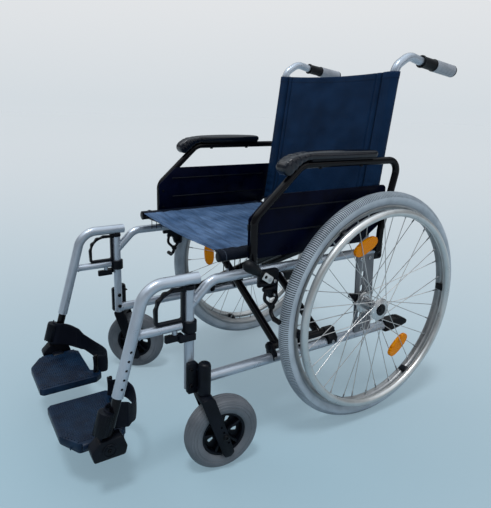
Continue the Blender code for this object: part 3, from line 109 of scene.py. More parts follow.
# %% Shader nodes in one call each
def feed(tree, target, inputs):
    """Give a node's inputs a socket to link from, or a plain value."""
    for key, value in inputs.items():
        if isinstance(value, bpy.types.NodeSocket):
            tree.links.new(value, target.inputs[key])
        else:
            target.inputs[key].default_value = value


def wire(tree, kind, inputs=None, **settings):
    """Add a shader node, set it up and feed its inputs."""
    made = tree.nodes.new("ShaderNode" + kind)
    for name, value in settings.items():
        setattr(made, name, value)
    feed(tree, made, inputs or {})
    return made


def sums(tree, kind, *values):
    """The result of one arithmetic node; each value is a socket or a number."""
    return wire(tree, "Math", dict(enumerate(values)), operation=kind).outputs[0]


# %% Make the world
world = bpy.data.worlds.new("studio")
bpy.context.scene.world = world
world.use_nodes = True
studio = world.node_tree
studio.nodes.clear()
ray = wire(studio, "LightPath").outputs
seen = sums(studio, "MAXIMUM", ray["Is Camera Ray"], ray["Is Transmission Ray"])
height = wire(studio, "SeparateXYZ", {0: wire(studio, "TexCoord").outputs["Generated"]}).outputs["Z"]
overhead = wire(studio, "MapRange", {"Value": height, "From Min": PATCH[0], "From Max": PATCH[1],
                                     "To Min": MIRRORED[0], "To Max": MIRRORED[1]},
                interpolation_type="SMOOTHSTEP")
rise = wire(studio, "MapRange", {"Value": height, "From Max": HIGH})
wall = wire(studio, "Mix", {"Factor": rise.outputs["Result"], "A": (*FAR_FLOOR, 1), "B": (*HIGH_WALL, 1)},
            data_type="RGBA")
light = wire(studio, "Background", {"Color": (*SKY_TINT, 1), "Strength": SKY})
mirrored = wire(studio, "Background", {"Color": (*FAR_FLOOR, 1), "Strength": overhead.outputs["Result"]})
behind = wire(studio, "Background", {"Color": wall.outputs["Result"]})
glossy = wire(studio, "MixShader", {0: ray["Is Glossy Ray"], 1: light.outputs[0], 2: mirrored.outputs[0]})
mix = wire(studio, "MixShader", {0: seen, 1: glossy.outputs[0], 2: behind.outputs[0]})
wire(studio, "OutputWorld", {0: mix.outputs[0]})
bpy.context.scene.view_settings.view_transform = "Standard"
print("world light", SKY)

# %% Hang the suns
for name, (place, width, power) in SUNS.items():
    data = bpy.data.lights.new(name, "SUN")
    data.angle = math.radians(width)
    data.energy = power
    sun = bpy.data.objects.new(name, data)
    bpy.context.scene.collection.objects.link(sun)
    sun.location = place
    sun.rotation_euler = Vector(place).to_track_quat("Z", "Y").to_euler()
print(len(SUNS), "suns")

# %% [markdown]
# ## Shared textures
#
# Moulded plastic, powder coat, rubber and cloth all have a fine relief that a flat colour lacks. Each
# relief is a small node group with a height and a tone, used at a different scale in each finish. The
# shader itself stays outside the groups, so that every finish can be read at a glance.

# %% Grain group: specks and clouds
SURFACE, RELIEF = {"Vector": "Vector", "Scale": "Float"}, {"Height": "Float", "Tone": "Float"}


def new_group(name, inputs, outputs):
    """An empty shader node group: the group, what comes in, and its end node."""
    group = bpy.data.node_groups.new(name, "ShaderNodeTree")
    for way, sockets in (("INPUT", inputs), ("OUTPUT", outputs)):
        for socket, kind in sockets.items():
            group.interface.new_socket(socket, in_out=way, socket_type="NodeSocket" + kind)
    print("group", name)
    return group, group.nodes.new("NodeGroupInput").outputs, group.nodes.new("NodeGroupOutput")


def noise_in(group, start, detail, factor):
    """A noise texture whose scale is the group's scale times a factor."""
    scale = sums(group, "MULTIPLY", start["Scale"], factor)
    return wire(group, "TexNoise", {"Vector": start["Vector"], "Scale": scale, "Detail": detail}).outputs[0]


grain_group, start, end = new_group("fine grain", SURFACE, RELIEF)
feed(grain_group, end, {"Height": noise_in(grain_group, start, 3, 1.0),
                        "Tone": noise_in(grain_group, start, 5, 0.02)})

# %% Weave group: two crossing sets of threads
weave_group, start, end = new_group("plain weave", SURFACE, RELIEF)
threads_and_crease_shade = [wire(weave_group, "TexWave", {"Vector": start["Vector"], "Scale": start["Scale"],
                                         "Distortion": 0.6, "Detail": 1, "Detail Scale": 0.4},
                bands_direction=direction) for direction in ("X", "Y")]
crossed = sums(weave_group, "MULTIPLY", *[wave.outputs["Fac"] for wave in threads_and_crease_shade])
feed(weave_group, end, {"Height": crossed, "Tone": noise_in(weave_group, start, 4, 0.018)})


# %% [markdown]
# ## Finishes
#
# One function makes every finish: a base colour that drifts a little between two tones, a roughness that
# drifts with it, and a relief from one of the groups. The numbers that are the same all over, such as
# metal, gloss and clear coat, are set on the shader itself.

# %% A finish from two tones and a relief
TONE_STOPS, POLISH_STOPS, RELIEF_HEIGHT = (0.35, 0.65), (0.3, 0.7), 0.0004


def finish(name, dark, light, rough, scale, depth, metallic=0.0, coat=0.0, gloss=0.5, group=grain_group,
           coordinate="Object"):
    """A material: two tones mixed in clouds, two roughness values mixed with them, and a relief."""
    material = bpy.data.materials.new(name)
    material.use_nodes = True
    tree = material.node_tree
    where = wire(tree, "TexCoord").outputs[coordinate]
    relief = wire(tree, "Group", {"Vector": where, "Scale": scale}, node_tree=group).outputs
    tones = wire(tree, "ValToRGB", {0: relief["Tone"]})
    for stop, position, colour in zip(tones.color_ramp.elements, TONE_STOPS, (dark, light)):
        stop.position = position
        stop.color = (*colour, 1)
    polish = wire(tree, "MapRange", {"Value": relief["Tone"], "From Min": POLISH_STOPS[0],
                                     "From Max": POLISH_STOPS[1], "To Min": rough[0], "To Max": rough[1]})
    bump = wire(tree, "Bump", {"Height": relief["Height"], "Strength": depth, "Distance": RELIEF_HEIGHT})
    feed(tree, tree.nodes["Principled BSDF"], {"Base Color": tones.outputs[0],
                                               "Roughness": polish.outputs[0], "Normal": bump.outputs[0],
                                               "Metallic": metallic, "Coat Weight": coat,
                                               "Specular IOR Level": gloss})
    return material


def found(tree, kind):
    """The first node of a kind in a finish."""
    return next(item for item in tree.nodes if item.bl_idname == "ShaderNode" + kind)


# %% Mix the metals and paints
silver = finish("silver_powder_coat", (0.335, 0.385, 0.455), (0.4, 0.455, 0.53), (0.26, 0.34), 900, 0.2,
                0.55, 0.3)
# The axle plate has the frame's own paint; this darker copy of the silver is painted shade, as the plate lies
# behind the wheel.
plate_painted_shade = finish("axle_plate_painted_shade", (0.125, 0.135, 0.155), (0.18, 0.19, 0.21), (0.36, 0.48), 900, 0.3,
                    0.5)
aluminium = finish("satin_aluminium", (0.5, 0.51, 0.525), (0.58, 0.59, 0.605), (0.22, 0.32), 1500, 0.12,
                   0.95)
rim_metal = finish("brushed_rim", (0.28, 0.29, 0.3), (0.36, 0.37, 0.38), (0.32, 0.42), 1500, 0.15, 0.7)
hoop_metal = finish("handrim_aluminium", (0.49, 0.505, 0.51), (0.56, 0.575, 0.58), (0.26, 0.34), 1500, 0.1,
                    0.8)
spoke_steel = finish("spoke_steel", (0.5, 0.5, 0.5), (0.62, 0.62, 0.62), (0.26, 0.36), 1400, 0.1, 0.8)
zinc = finish("zinc_plate", (0.34, 0.35, 0.37), (0.5, 0.51, 0.53), (0.24, 0.34), 1000, 0.15, 0.9)
black_gloss = finish("black_gloss_tube", (0.002, 0.002, 0.003), (0.004, 0.004, 0.006), (0.09, 0.13), 700,
                     0.04, coat=0.1, gloss=0.1)
print(len(bpy.data.materials), "finishes so far")

# %% Mix the plastics and rubbers
black_moulded = finish("black_moulded_plastic", (0.0012, 0.002, 0.0042), (0.0032, 0.0048, 0.0095),
                       (0.3, 0.42), 1600, 0.4, gloss=0.14)
black_panel = finish("black_panel_plastic", (0.0004, 0.0012, 0.0075), (0.0011, 0.0028, 0.015), (0.26, 0.36),
                     1100, 0.2, gloss=0.05)
plate_plastic = finish("footplate_plastic", (0.0016, 0.008, 0.024), (0.0055, 0.0205, 0.05), (0.3, 0.42),
                       1500, 0.35, gloss=0.14)
black_rubber = finish("black_rubber", (0.0014, 0.0022, 0.0038), (0.0042, 0.006, 0.009), (0.36, 0.48), 1300,
                      0.35, gloss=0.16)
grip_grey = finish("grey_grip", (0.235, 0.258, 0.3), (0.315, 0.345, 0.395), (0.36, 0.5), 1200, 0.35)
tyre_grey = finish("grey_tyre_rubber", (0.28, 0.335, 0.395), (0.4, 0.47, 0.54), (0.42, 0.56), 900, 0.4)
# A much darker copy of the tyre's rubber for the grooves: painted shade.
groove_painted_shade = finish("tyre_groove_painted_shade", (0.026, 0.036, 0.046), (0.042, 0.055, 0.068), (0.6, 0.75), 900,
                     0.4, gloss=0.15)
caster_grey = finish("grey_caster_rubber", (0.08, 0.092, 0.11), (0.12, 0.134, 0.156), (0.4, 0.54), 900, 0.4)
print(len(bpy.data.materials), "finishes so far")

# %% Mix the cloths
woven = {"group": weave_group, "coordinate": "UV"}
leatherette = finish("black_leatherette", (0.001, 0.0026, 0.007), (0.0026, 0.0056, 0.013), (0.12, 0.2), 480,
                     0.3, gloss=0.4)
# The seat and the back are one nylon in two copies: the seat's is much lighter, as painted light from above.
seat_cloth = finish("seat_nylon_painted_light", (0.045, 0.098, 0.205), (0.118, 0.21, 0.385), (0.46, 0.6), 620, 0.6,
                    gloss=0.09, **woven)
back_cloth = finish("back_nylon", (0.0018, 0.015, 0.047), (0.0046, 0.0245, 0.071), (0.42, 0.56), 620, 0.5,
                    gloss=0.08, **woven)
strap_cloth = finish("strap_webbing", (0.0008, 0.002, 0.007), (0.003, 0.0055, 0.015), (0.5, 0.66), 420, 0.9,
                     gloss=0.12, **woven)
print(len(bpy.data.materials), "finishes")

# %% Amber for the lenses, with a painted glow
FACETS = 105
amber = finish("amber_lens_painted_glow", (0.34, 0.078, 0.0003), (0.9, 0.345, 0.001), (0.12, 0.2), FACETS, 0.9,
               coat=0.06, gloss=0.1, **woven)
tree = amber.node_tree
# A faint orange glow in the lens: painted light, for the light a reflector sends back.
feed(tree, tree.nodes["Principled BSDF"], {"Emission Color": (1.0, 0.36, 0.0, 1), "Emission Strength": 0.1})
ramp = found(tree, "ValToRGB")
ramp.color_ramp.elements[0].position, ramp.color_ramp.elements[1].position = 0.0, 0.7
feed(tree, ramp, {0: found(tree, "Group").outputs["Height"]})
print("amber facets about", round(0.314 / FACETS * 1000, 1), "mm")

# %% [markdown]
# ## The workbench
#
# Everything below is drawn with Blender's own editing tools, called from code. A maker draws an outline or
# a centre line one vertex at a time, rounds its corners, and then extrudes it, spins it or gives it a round
# section. Sizes along the chair are counted from the rear axle, as a maker would count them, and each
# finished piece is moved from there to its place in the frame.

# %% Select and edit
AXLE_Y = 0.237
SAME_PLACE = 0.00002


def only(piece):
    """Leave one object selected and active."""
    bpy.ops.object.select_all(action="DESELECT")
    piece.select_set(True)
    bpy.context.view_layer.objects.active = piece
    return piece


def settle():
    """Keep the active object's place, turn and size in its mesh."""
    bpy.ops.object.transform_apply(location=True, rotation=True, scale=True)
    return bpy.context.object


def edit(piece):
    """Open a piece in edit mode, with all of it selected."""
    only(piece)
    bpy.ops.object.mode_set(mode="EDIT")
    bpy.ops.mesh.select_all(action="SELECT")


def choose(piece, kind, test):
    """In edit mode, select the vertices or faces whose place and normal pass the test."""
    bpy.ops.mesh.select_mode(type=kind)
    bpy.ops.mesh.select_all(action="DESELECT")
    bm = bmesh.from_edit_mesh(piece.data)
    if kind == "FACE":
        for face in bm.faces:
            face.select_set(bool(test(face.calc_center_median(), face.normal)))
    else:
        for vert in bm.verts:
            vert.select_set(bool(test(vert.co, vert.normal)))
    bm.select_flush_mode()
    bmesh.update_edit_mesh(piece.data)


def tidy(piece):
    """Merge doubles and turn the faces outwards."""
    edit(piece)
    bpy.ops.mesh.remove_doubles(threshold=SAME_PLACE)
    bpy.ops.mesh.normals_make_consistent(inside=False)
    bpy.ops.object.mode_set(mode="OBJECT")
    return piece


def use(piece, kind, **settings):
    """Give the piece a modifier and apply it."""
    only(piece)
    modifier = piece.modifiers.new("work", kind)
    for name, value in settings.items():
        setattr(modifier, name, value)
    bpy.ops.object.modifier_apply(modifier=modifier.name)
    return piece


def soften(piece, width, segments=2, angle=40):
    """Round the sharp edges, as a mould or a file does."""
    return use(piece, "BEVEL", width=width, segments=segments, limit_method="ANGLE",
               angle_limit=math.radians(angle), harden_normals=False)


# %% Draw a line, then round its corners
def trace(points, closed=False):
    """Extrude one vertex from point to point, and leave the line in edit mode."""
    points = [Vector(point) for point in points]
    bpy.ops.object.select_all(action="DESELECT")
    bpy.ops.mesh.primitive_plane_add(size=0.001, location=(0, 0, 0))
    line = bpy.context.object
    bpy.ops.object.mode_set(mode="EDIT")
    bpy.ops.mesh.select_mode(type="VERT")
    bpy.ops.mesh.select_all(action="SELECT")
    bpy.ops.mesh.merge(type="CENTER")
    bpy.ops.transform.translate(value=points[0])
    for here, there in zip(points, points[1:]):
        bpy.ops.mesh.extrude_region_move(TRANSFORM_OT_translate={"value": there - here})
    if closed:
        bpy.ops.mesh.select_all(action="SELECT")
        bpy.ops.mesh.edge_face_add()
    return line


def round_corners(line, points, radii, segments=8):
    """Bevel the corners of a line in edit mode: a radius for each in turn, where 0 leaves it sharp."""
    points = [Vector(point) for point in points]
    for number, radius in enumerate(radii):
        if radius:
            corner = points[number]
            before, after = points[number - 1], points[(number + 1) % len(points)]
            turn = (corner - before).angle(after - corner)
            choose(line, "VERT", lambda place, normal: (place - corner).length < 0.00001)
            bpy.ops.mesh.bevel(offset=radius * math.tan(turn / 2), segments=segments, affect="VERTICES")


def pipe(points, radii, radius, sides=20, segments=10):
    """A bent tube: a traced centre line with rounded bends, given a round section."""
    line = trace(points)
    round_corners(line, points, radii, segments)
    bpy.ops.object.mode_set(mode="OBJECT")
    bpy.ops.object.convert(target="CURVE")
    curve = bpy.context.object.data
    curve.bevel_depth = radius
    curve.bevel_resolution = (sides - 4) // 2
    curve.use_fill_caps = True
    bpy.ops.object.convert(target="MESH")
    return tidy(bpy.context.object)


# %% Flat, round and boxy blanks
PLANES = {"X": lambda a, b, h: (h, a, b), "Y": lambda a, b, h: (a, h, b), "Z": lambda a, b, h: (a, b, h)}


def slab(outline, axis, low, high, radii=(), edge=0.0006, segments=6):
    """An outline with rounded corners, extruded along an axis, with softened edges."""
    points = [PLANES[axis](a, b, low) for a, b in outline]
    piece = trace(points, closed=True)
    round_corners(piece, points, radii, segments)
    bpy.ops.mesh.select_all(action="SELECT")
    bpy.ops.mesh.extrude_region_move(TRANSFORM_OT_translate={"value": PLANES[axis](0, 0, high - low)})
    bpy.ops.object.mode_set(mode="OBJECT")
    tidy(piece)
    return soften(piece, edge) if edge else piece


def turned(profile, centre, axis="X", steps=48, closed=False):
    """A profile of (along, radius) points spun round an axis through the centre."""
    along = Vector(PLANES[axis](0, 0, 1))
    out = Vector((1, 0, 0)) if axis == "Z" else Vector((0, 0, 1))
    centre = Vector(centre)
    points = [centre + along * a + out * r for a, r in profile]
    piece = trace(points + points[:1] if closed else points)
    bpy.ops.mesh.select_all(action="SELECT")
    bpy.ops.mesh.spin(steps=steps, angle=2 * math.pi, center=centre, axis=along)
    bpy.ops.object.mode_set(mode="OBJECT")
    return tidy(piece)


def ring_section(rows):
    """The rows of half a section, and their mirror image on the other side."""
    return rows + [(-a, r) for a, r in reversed(rows)]


def bar(begin, stop, radius, sides=24, edge=0.0):
    """A straight round bar from a cylinder, with its ends softened."""
    begin, stop = Vector(begin), Vector(stop)
    way = stop - begin
    bpy.ops.object.select_all(action="DESELECT")
    bpy.ops.mesh.primitive_cylinder_add(vertices=sides, radius=radius, depth=way.length,
                                        location=(begin + stop) / 2,
                                        rotation=way.to_track_quat("Z", "Y").to_euler())
    return soften(settle(), edge) if edge else settle()


def pin(spot, low, high, *size):
    """A bar along X through a point, from low to high beside it."""
    spot = Vector(spot)
    return bar(spot + Vector((low, 0, 0)), spot + Vector((high, 0, 0)), *size)


def brick(low, high, edge=0.001, segments=2):
    """A box between two corners, with softened edges."""
    low, high = Vector(low), Vector(high)
    bpy.ops.object.select_all(action="DESELECT")
    bpy.ops.mesh.primitive_cube_add(size=1, location=(low + high) / 2, scale=high - low)
    return soften(settle(), edge, segments)


def torus(spot, turn, radius, size, steps, sides):
    """A round hoop with its middle at a point."""
    bpy.ops.object.select_all(action="DESELECT")
    bpy.ops.mesh.primitive_torus_add(location=spot, rotation=turn, major_radius=radius, minor_radius=size,
                                     major_segments=steps, minor_segments=sides)
    return settle()


def hex_bolt(place, way, radius, height=0.0035):
    """A button head with a socket, standing on a face that looks along the way given."""
    place, way = Vector(place), Vector(way).normalized()
    head = bar(place - way * 0.001, place + way * height, radius, 20, radius * 0.28)
    socket = bar(place + way * (height * 0.35), place + way * (height + 0.002), radius * 0.45, 6)
    return carve(head, socket)


def bolts_on(x, way, radius, height, *spots):
    """Bolts on a face at x that looks along X or back along it, at pairs of y and z."""
    return [hex_bolt((x, y, z), (way, 0, 0), radius, height) for y, z in spots]


# %% Join, cut, copy and mark
def join(*pieces):
    """One object from several."""
    only(pieces[0])
    for piece in pieces:
        piece.select_set(True)
    bpy.ops.object.join()
    return bpy.context.object


def carve(piece, *cutters):
    """Cut the cutters out of the piece."""
    for cutter in cutters:
        use(piece, "BOOLEAN", operation="DIFFERENCE", solver="EXACT", object=cutter)
        bpy.data.objects.remove(cutter)
    return piece


def copy(piece):
    """A copy with its own mesh."""
    only(piece)
    bpy.ops.object.duplicate()
    return bpy.context.object


def mark(piece):
    """Remember which faces are selected, for a second finish."""
    marks = piece.data.attributes.new("marked", "BOOLEAN", "FACE")
    for face in piece.data.polygons:
        marks.data[face.index].value = face.select


def paint_marked(pieces, material):
    """Give the marked faces of finished pieces a second finish."""
    for piece in pieces:
        piece.data.materials.append(material)
        marks = piece.data.attributes["marked"]
        for face in piece.data.polygons:
            face.material_index = int(marks.data[face.index].value)
        piece.data.attributes.remove(marks)


def flat_uv(piece, u, v):
    """Lay a piece's UV map flat along two axes, in metres."""
    layer = piece.data.uv_layers.active or piece.data.uv_layers.new(name="flat")
    for loop in piece.data.loops:
        spot = piece.data.vertices[loop.vertex_index].co
        layer.data[loop.index].uv = (spot[u], spot[v])


# %% Place and turn
def place(piece, move=(0, 0, 0), mirror=False):
    """Move a piece, or mirror it to the other side, and keep the result in its mesh."""
    only(piece)
    piece.location = move
    settle()
    if mirror:
        piece.scale.x = -1
        settle()
        tidy(piece)
    return piece


def turn_about(piece, centre, axis, angle):
    """Turn a piece about an axis through a point, and keep the result in its mesh."""
    only(piece)
    turn, centre = Matrix.Rotation(angle, 3, axis), Vector(centre)
    piece.rotation_euler = turn.to_euler()
    piece.location = centre - turn @ centre
    return settle()


# %% Finish and tie to the frame
USUAL_SLOTS = {paint.name: slot for slot, paints in {
    "silver_powder_coat": (silver, plate_painted_shade), "black_steel": (zinc, black_gloss),
    "rim_aluminium": (aluminium, rim_metal, hoop_metal, spoke_steel),
    "black_plastic": (black_moulded, black_panel, plate_plastic, black_rubber), "grip": [grip_grey],
    "tyre_grey": [tyre_grey], "caster_grey": [caster_grey], "arm_pad": [leatherette],
    "amber": [amber]}.items() for paint in paints}


def dress(piece, name, material, body, stands_for=(), slot=None, smooth=35):
    """Name a finished piece, give it its finish and tie it to its body."""
    only(piece)
    piece.name = piece.data.name = name
    piece.data.materials.clear()
    piece.data.materials.append(material)
    bpy.ops.object.shade_smooth_by_angle(angle=math.radians(smooth), keep_sharp_edges=False)
    if stands_for:
        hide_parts(*stands_for)
    slot or USUAL_SLOTS[material.name]
    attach(piece, body)
    return piece


def pair(piece, name, material, body, node=None, slot=None, smooth=35, swing=None):
    """Move the left piece to its place in the frame, and add its mirror image on the right.

    A swing is an axis, an angle for each side and the left side's point on the axis.
    """
    place(piece, (0, AXLE_Y, 0))
    twin = place(copy(piece), mirror=True)
    for side, made, sign in (("left", piece, 1), ("right", twin, -1)):
        if swing and swing[1][side]:
            x, y, z = swing[2]
            turn_about(made, (sign * x, y, z), swing[0], swing[1][side])
        stands_for = [side + "_" + node] if node else ()
        dress(made, side + "_" + name, material, side + "_" + body, stands_for, slot, smooth)
    print(name, len(piece.data.polygons), "faces")
    return piece, twin

# %% [markdown]
# ## Rear tyre
#
# A 24 inch solid tyre: round in section, narrow at the bead, with fine ribs across the tread and a smooth
# band on each shoulder. The ribs could be a bump pattern, but they show on the outline of the wheel. So the
# section is spun in as many steps as there are ribs and grooves, and every second strip of the tread is
# sunk and given a much darker copy of the rubber, as painted shade in the grooves.

# %% Spin the tyre, sink its grooves and paint shade in them
WHEEL_R, WHEEL_X = 0.304, 0.2864
wheel_centre = Vector((WHEEL_X, 0, WHEEL_R))
wheel_turns = ("X", {"left": 0, "right": math.radians(70)}, (WHEEL_X, AXLE_Y, WHEEL_R))
RIBS, GROOVE, TREAD_R = 366, 0.0015, 0.2935


def tyre_section(half, outer, bead, steps):
    """The outline of a round tyre, from one bead over the tread to the other."""
    turns = [math.radians(-38 + 256 * step / steps) for step in range(steps + 1)]
    round_part = [(half * math.cos(turn), outer - half + half * math.sin(turn)) for turn in turns]
    return [(half * 0.56, bead)] + round_part + [(-half * 0.56, bead)]


tyre = turned(tyre_section(0.0175, WHEEL_R, 0.2703, 18), wheel_centre, steps=2 * RIBS, closed=True)
only(tyre)
bpy.ops.object.mode_set(mode="EDIT")


def in_groove(place, normal):
    """Whether a face of the tread is in every second strip."""
    share = math.atan2(place.y, place.z - WHEEL_R) * RIBS / (2 * math.pi) % 1
    return math.hypot(place.y, place.z - WHEEL_R) > TREAD_R and share < 0.5


choose(tyre, "FACE", in_groove)
bpy.ops.mesh.extrude_region_shrink_fatten(TRANSFORM_OT_shrink_fatten={"value": -GROOVE})
bpy.ops.object.mode_set(mode="OBJECT")
# The sunk strips get the darker groove copy of the rubber: painted shade in the grooves.
mark(tyre)
paint_marked(pair(tyre, "tyre", tyre_grey, "rear_wheel", "rear_tyre", smooth=30, swing=wheel_turns),
             groove_painted_shade)

# %% [markdown]
# ## Rim, nipples and valve
#
# The rim is an extruded aluminium section rolled into a hoop: two walls that hold the bead, and a narrower
# face inside, where the spokes end in brass nipples. A section spun in 120 steps looks round from close by.

# %% Spin the rim
RIM_IN = 0.2575
rim_profile = ring_section([(0.0122, 0.2698), (0.0128, 0.2722), (0.0136, 0.2722), (0.0138, 0.269),
                            (0.0128, 0.265), (0.0098, 0.2612), (0.0066, 0.258), (0.005, RIM_IN)])
rim = turned(rim_profile, wheel_centre, steps=120, closed=True)
pair(rim, "rim", rim_metal, "rear_wheel", "rear_rim", smooth=30, swing=wheel_turns)

# %% [markdown]
# ## Spokes
#
# Thirty-six spokes run from two hub flanges to the rim, each crossing its neighbours. Four of them, one of
# each flange and lean, make a pattern that repeats every 40 degrees. So four are drawn and spun round as
# copies.

# %% Draw four spokes and spin copies
HUB_IN, FLANGE_OUT, FLANGE_IN, CROSS = 0.0245, 0.0205, -0.0332, math.radians(60)
spokes, nipples = [], []


def beside(x, radius, angle):
    """A point at a radius and an angle round the wheel's middle, x beside it."""
    return Vector((x, radius * math.cos(angle), radius * math.sin(angle)))


for number in range(4):
    flange, lean = (1 if number % 2 else -1), (1 if number < 2 else -1)
    rim_angle, side_step = math.radians(10) * number, lean * 0.0013
    hub_angle = rim_angle - lean * CROSS
    inner = beside((FLANGE_OUT if flange > 0 else FLANGE_IN) + side_step, HUB_IN, hub_angle)
    outer = beside(flange * 0.003 + side_step, RIM_IN, rim_angle)
    way = (outer - inner).normalized()
    spokes.append(bar(inner, outer - way * 0.001, 0.001, 8))
    spokes.append(pin(inner, -flange * 0.0028, flange * 0.0018, 0.0019, 8, 0.0005))
    nipples.append(bar(outer - way * 0.014, outer - way * 0.0005, 0.0019, 8, 0.0004))


def spin_copies(piece, copies):
    """Copies of the piece all round the X axis."""
    edit(piece)
    bpy.ops.mesh.spin(steps=copies - 1, dupli=True, angle=2 * math.pi * (copies - 1) / copies,
                      center=(0, 0, 0), axis=(1, 0, 0))
    bpy.ops.object.mode_set(mode="OBJECT")
    return piece


for name, drawn, metal in (("spokes", spokes, spoke_steel), ("nipples", nipples, zinc)):
    all_round = place(spin_copies(join(*drawn), 9), wheel_centre)
    pair(all_round, name, metal, "rear_wheel", slot="rim_aluminium", smooth=40, swing=wheel_turns)

# %% [markdown]
# ## Hub
#
# A turned aluminium shell with two flanges that the spokes hook into, a black cap with the axle's push
# button outside, and a collar on the inner side. It is one profile spun round the axle.

# %% Turn the hub
hub_profile = [(-0.0385, 0.0068), (-0.0385, 0.0105), (-0.0378, 0.0125), (-0.0362, 0.017), (-0.0352, 0.0275),
               (-0.0342, 0.029), (-0.0322, 0.029), (-0.0312, 0.0275), (-0.0302, 0.0185), (-0.027, 0.0165),
               (-0.006, 0.0145), (0.014, 0.0132), (0.0172, 0.016), (0.0186, 0.0275), (0.0196, 0.0295),
               (0.0214, 0.0295), (0.0224, 0.028), (0.0236, 0.019), (0.0245, 0.017), (0.0252, 0.017),
               (0.0252, 0.0068)]
hub = turned(hub_profile, wheel_centre, steps=64, closed=True)
pair(hub, "hub", aluminium, "rear_wheel", "rear_hub", swing=wheel_turns)
cap = turned([(0.0238, 0), (0.0238, 0.0158), (0.0262, 0.0156), (0.0272, 0.0138), (0.027, 0.0088),
              (0.0262, 0.008), (0.0262, 0.0062), (0.0278, 0.0056), (0.0282, 0.003), (0.0282, 0)],
             wheel_centre, steps=48)
pair(cap, "hub_cap", black_moulded, "rear_wheel", swing=wheel_turns)

# %% [markdown]
# ## Handrim
#
# The user pushes this aluminium hoop, which stands off the rim on six small black blocks. A torus gives the
# hoop. A block is shaped once, with a waist and a screw, and copied round.

# %% Make the handrim and its blocks
HANDRIM_X, HANDRIM_R = 0.3154, 0.2556
hoop = torus((HANDRIM_X, 0, WHEEL_R), (0, math.pi / 2, 0), HANDRIM_R, 0.0096, 144, 20)
pair(hoop, "push_hoop", hoop_metal, "rear_wheel", "handrim", smooth=40, swing=wheel_turns)
block = slab([(-0.004, 0.2578), (-0.004, 0.2535), (0.001, 0.2515), (0.0195, 0.247), (0.0235, 0.249),
              (0.0235, 0.261), (0.018, 0.2635), (0.0128, 0.2655), (0.0098, 0.2615), (0.005, 0.2578)], "Y",
             -0.0078, 0.0078, (0, 0.002, 0.003, 0.003, 0, 0, 0.003), 0.0012)
blocks = [turn_about(copy(block), (0, 0, 0), "X", 2 * math.pi * (number + 0.55) / 6) for number in range(6)]
bpy.data.objects.remove(block)
pair(place(join(*blocks), wheel_centre), "rim_blocks", black_moulded, "rear_wheel", swing=wheel_turns)

# %% [markdown]
# ## Spoke reflectors
#
# Two amber lenses clip between the spokes of each wheel. Each is a fat oval plate with a raised window,
# inset and extruded from its face. The rows of tiny prisms in the window are a relief in the finish, laid
# out on a flat UV map, so that they turn with the lens.

# %% Cut the reflectors
LENS_R, LENS_HALF, FULLNESS = 0.177, (0.039, 0.0168), 0.82


def reflector(name, angle, tilt, node):
    """A lens at an angle round the wheel, modelled flat and then turned to its place."""
    outline = []
    for number in range(44):
        turn = 2 * math.pi * number / 44
        outline.append([math.copysign(abs(share) ** FULLNESS, share) * half
                        for share, half in ((math.cos(turn), LENS_HALF[0]),
                                            (math.sin(turn), LENS_HALF[1]))])
    lens = slab(outline, "X", -0.0046, 0.0046, (), 0.0012)
    only(lens)
    bpy.ops.object.mode_set(mode="EDIT")
    choose(lens, "FACE", lambda spot, normal: abs(normal.x) > 0.99)
    bpy.ops.mesh.inset(thickness=0.0026, depth=0)
    bpy.ops.mesh.extrude_region_shrink_fatten(TRANSFORM_OT_shrink_fatten={"value": 0.0006})
    bpy.ops.object.mode_set(mode="OBJECT")
    flat_uv(lens, 1, 2)
    lens = turn_about(lens, (0, 0, 0), "X", angle + math.pi / 2 + tilt)
    lens = place(lens, wheel_centre + beside(0, LENS_R, angle))
    pair(lens, name, amber, "rear_wheel", node, swing=wheel_turns)


reflector("lens_upper", math.radians(106.5), math.radians(8), "reflector_upper")
reflector("lens_lower", math.radians(-50.6), 0, "reflector_lower")

# %% [markdown]
# ## Casters
#
# Each small front wheel has a grey tyre with grooves round it, a black centre with five spokes, and a black
# fork that is bent from plate, with a row of holes for the axle. The two casters stand at different angles,
# so they are modelled straight and then turned about their stems.

# %% Spin the caster tyre
STEM, CASTER_R, TRAIL = Vector((0.27, -0.491, 0)), 0.087, 0.043
axle = STEM + Vector((0, TRAIL, CASTER_R))
yaw = ("Z", {"left": math.radians(-5.8), "right": math.radians(-37.5)}, (STEM.x, STEM.y + AXLE_Y, 0))
half_section = [(0.0166, 0.0525), (0.0192, 0.056), (0.0212, 0.0615), (0.0215, 0.066), (0.0205, 0.067),
                (0.0214, 0.0682), (0.0212, 0.0725), (0.0198, 0.0737), (0.0203, 0.0752), (0.019, 0.079),
                (0.0174, 0.0797), (0.017, 0.0815), (0.014, 0.0845), (0.0122, 0.0843), (0.0108, 0.0861),
                (0.006, 0.087), (0.0044, 0.0858), (0.003, 0.087)]
caster_tyre = turned(ring_section(half_section), axle, steps=96, closed=True)
pair(caster_tyre, "caster_tread", caster_grey, "caster_wheel", "caster_tyre", smooth=28, swing=yaw)

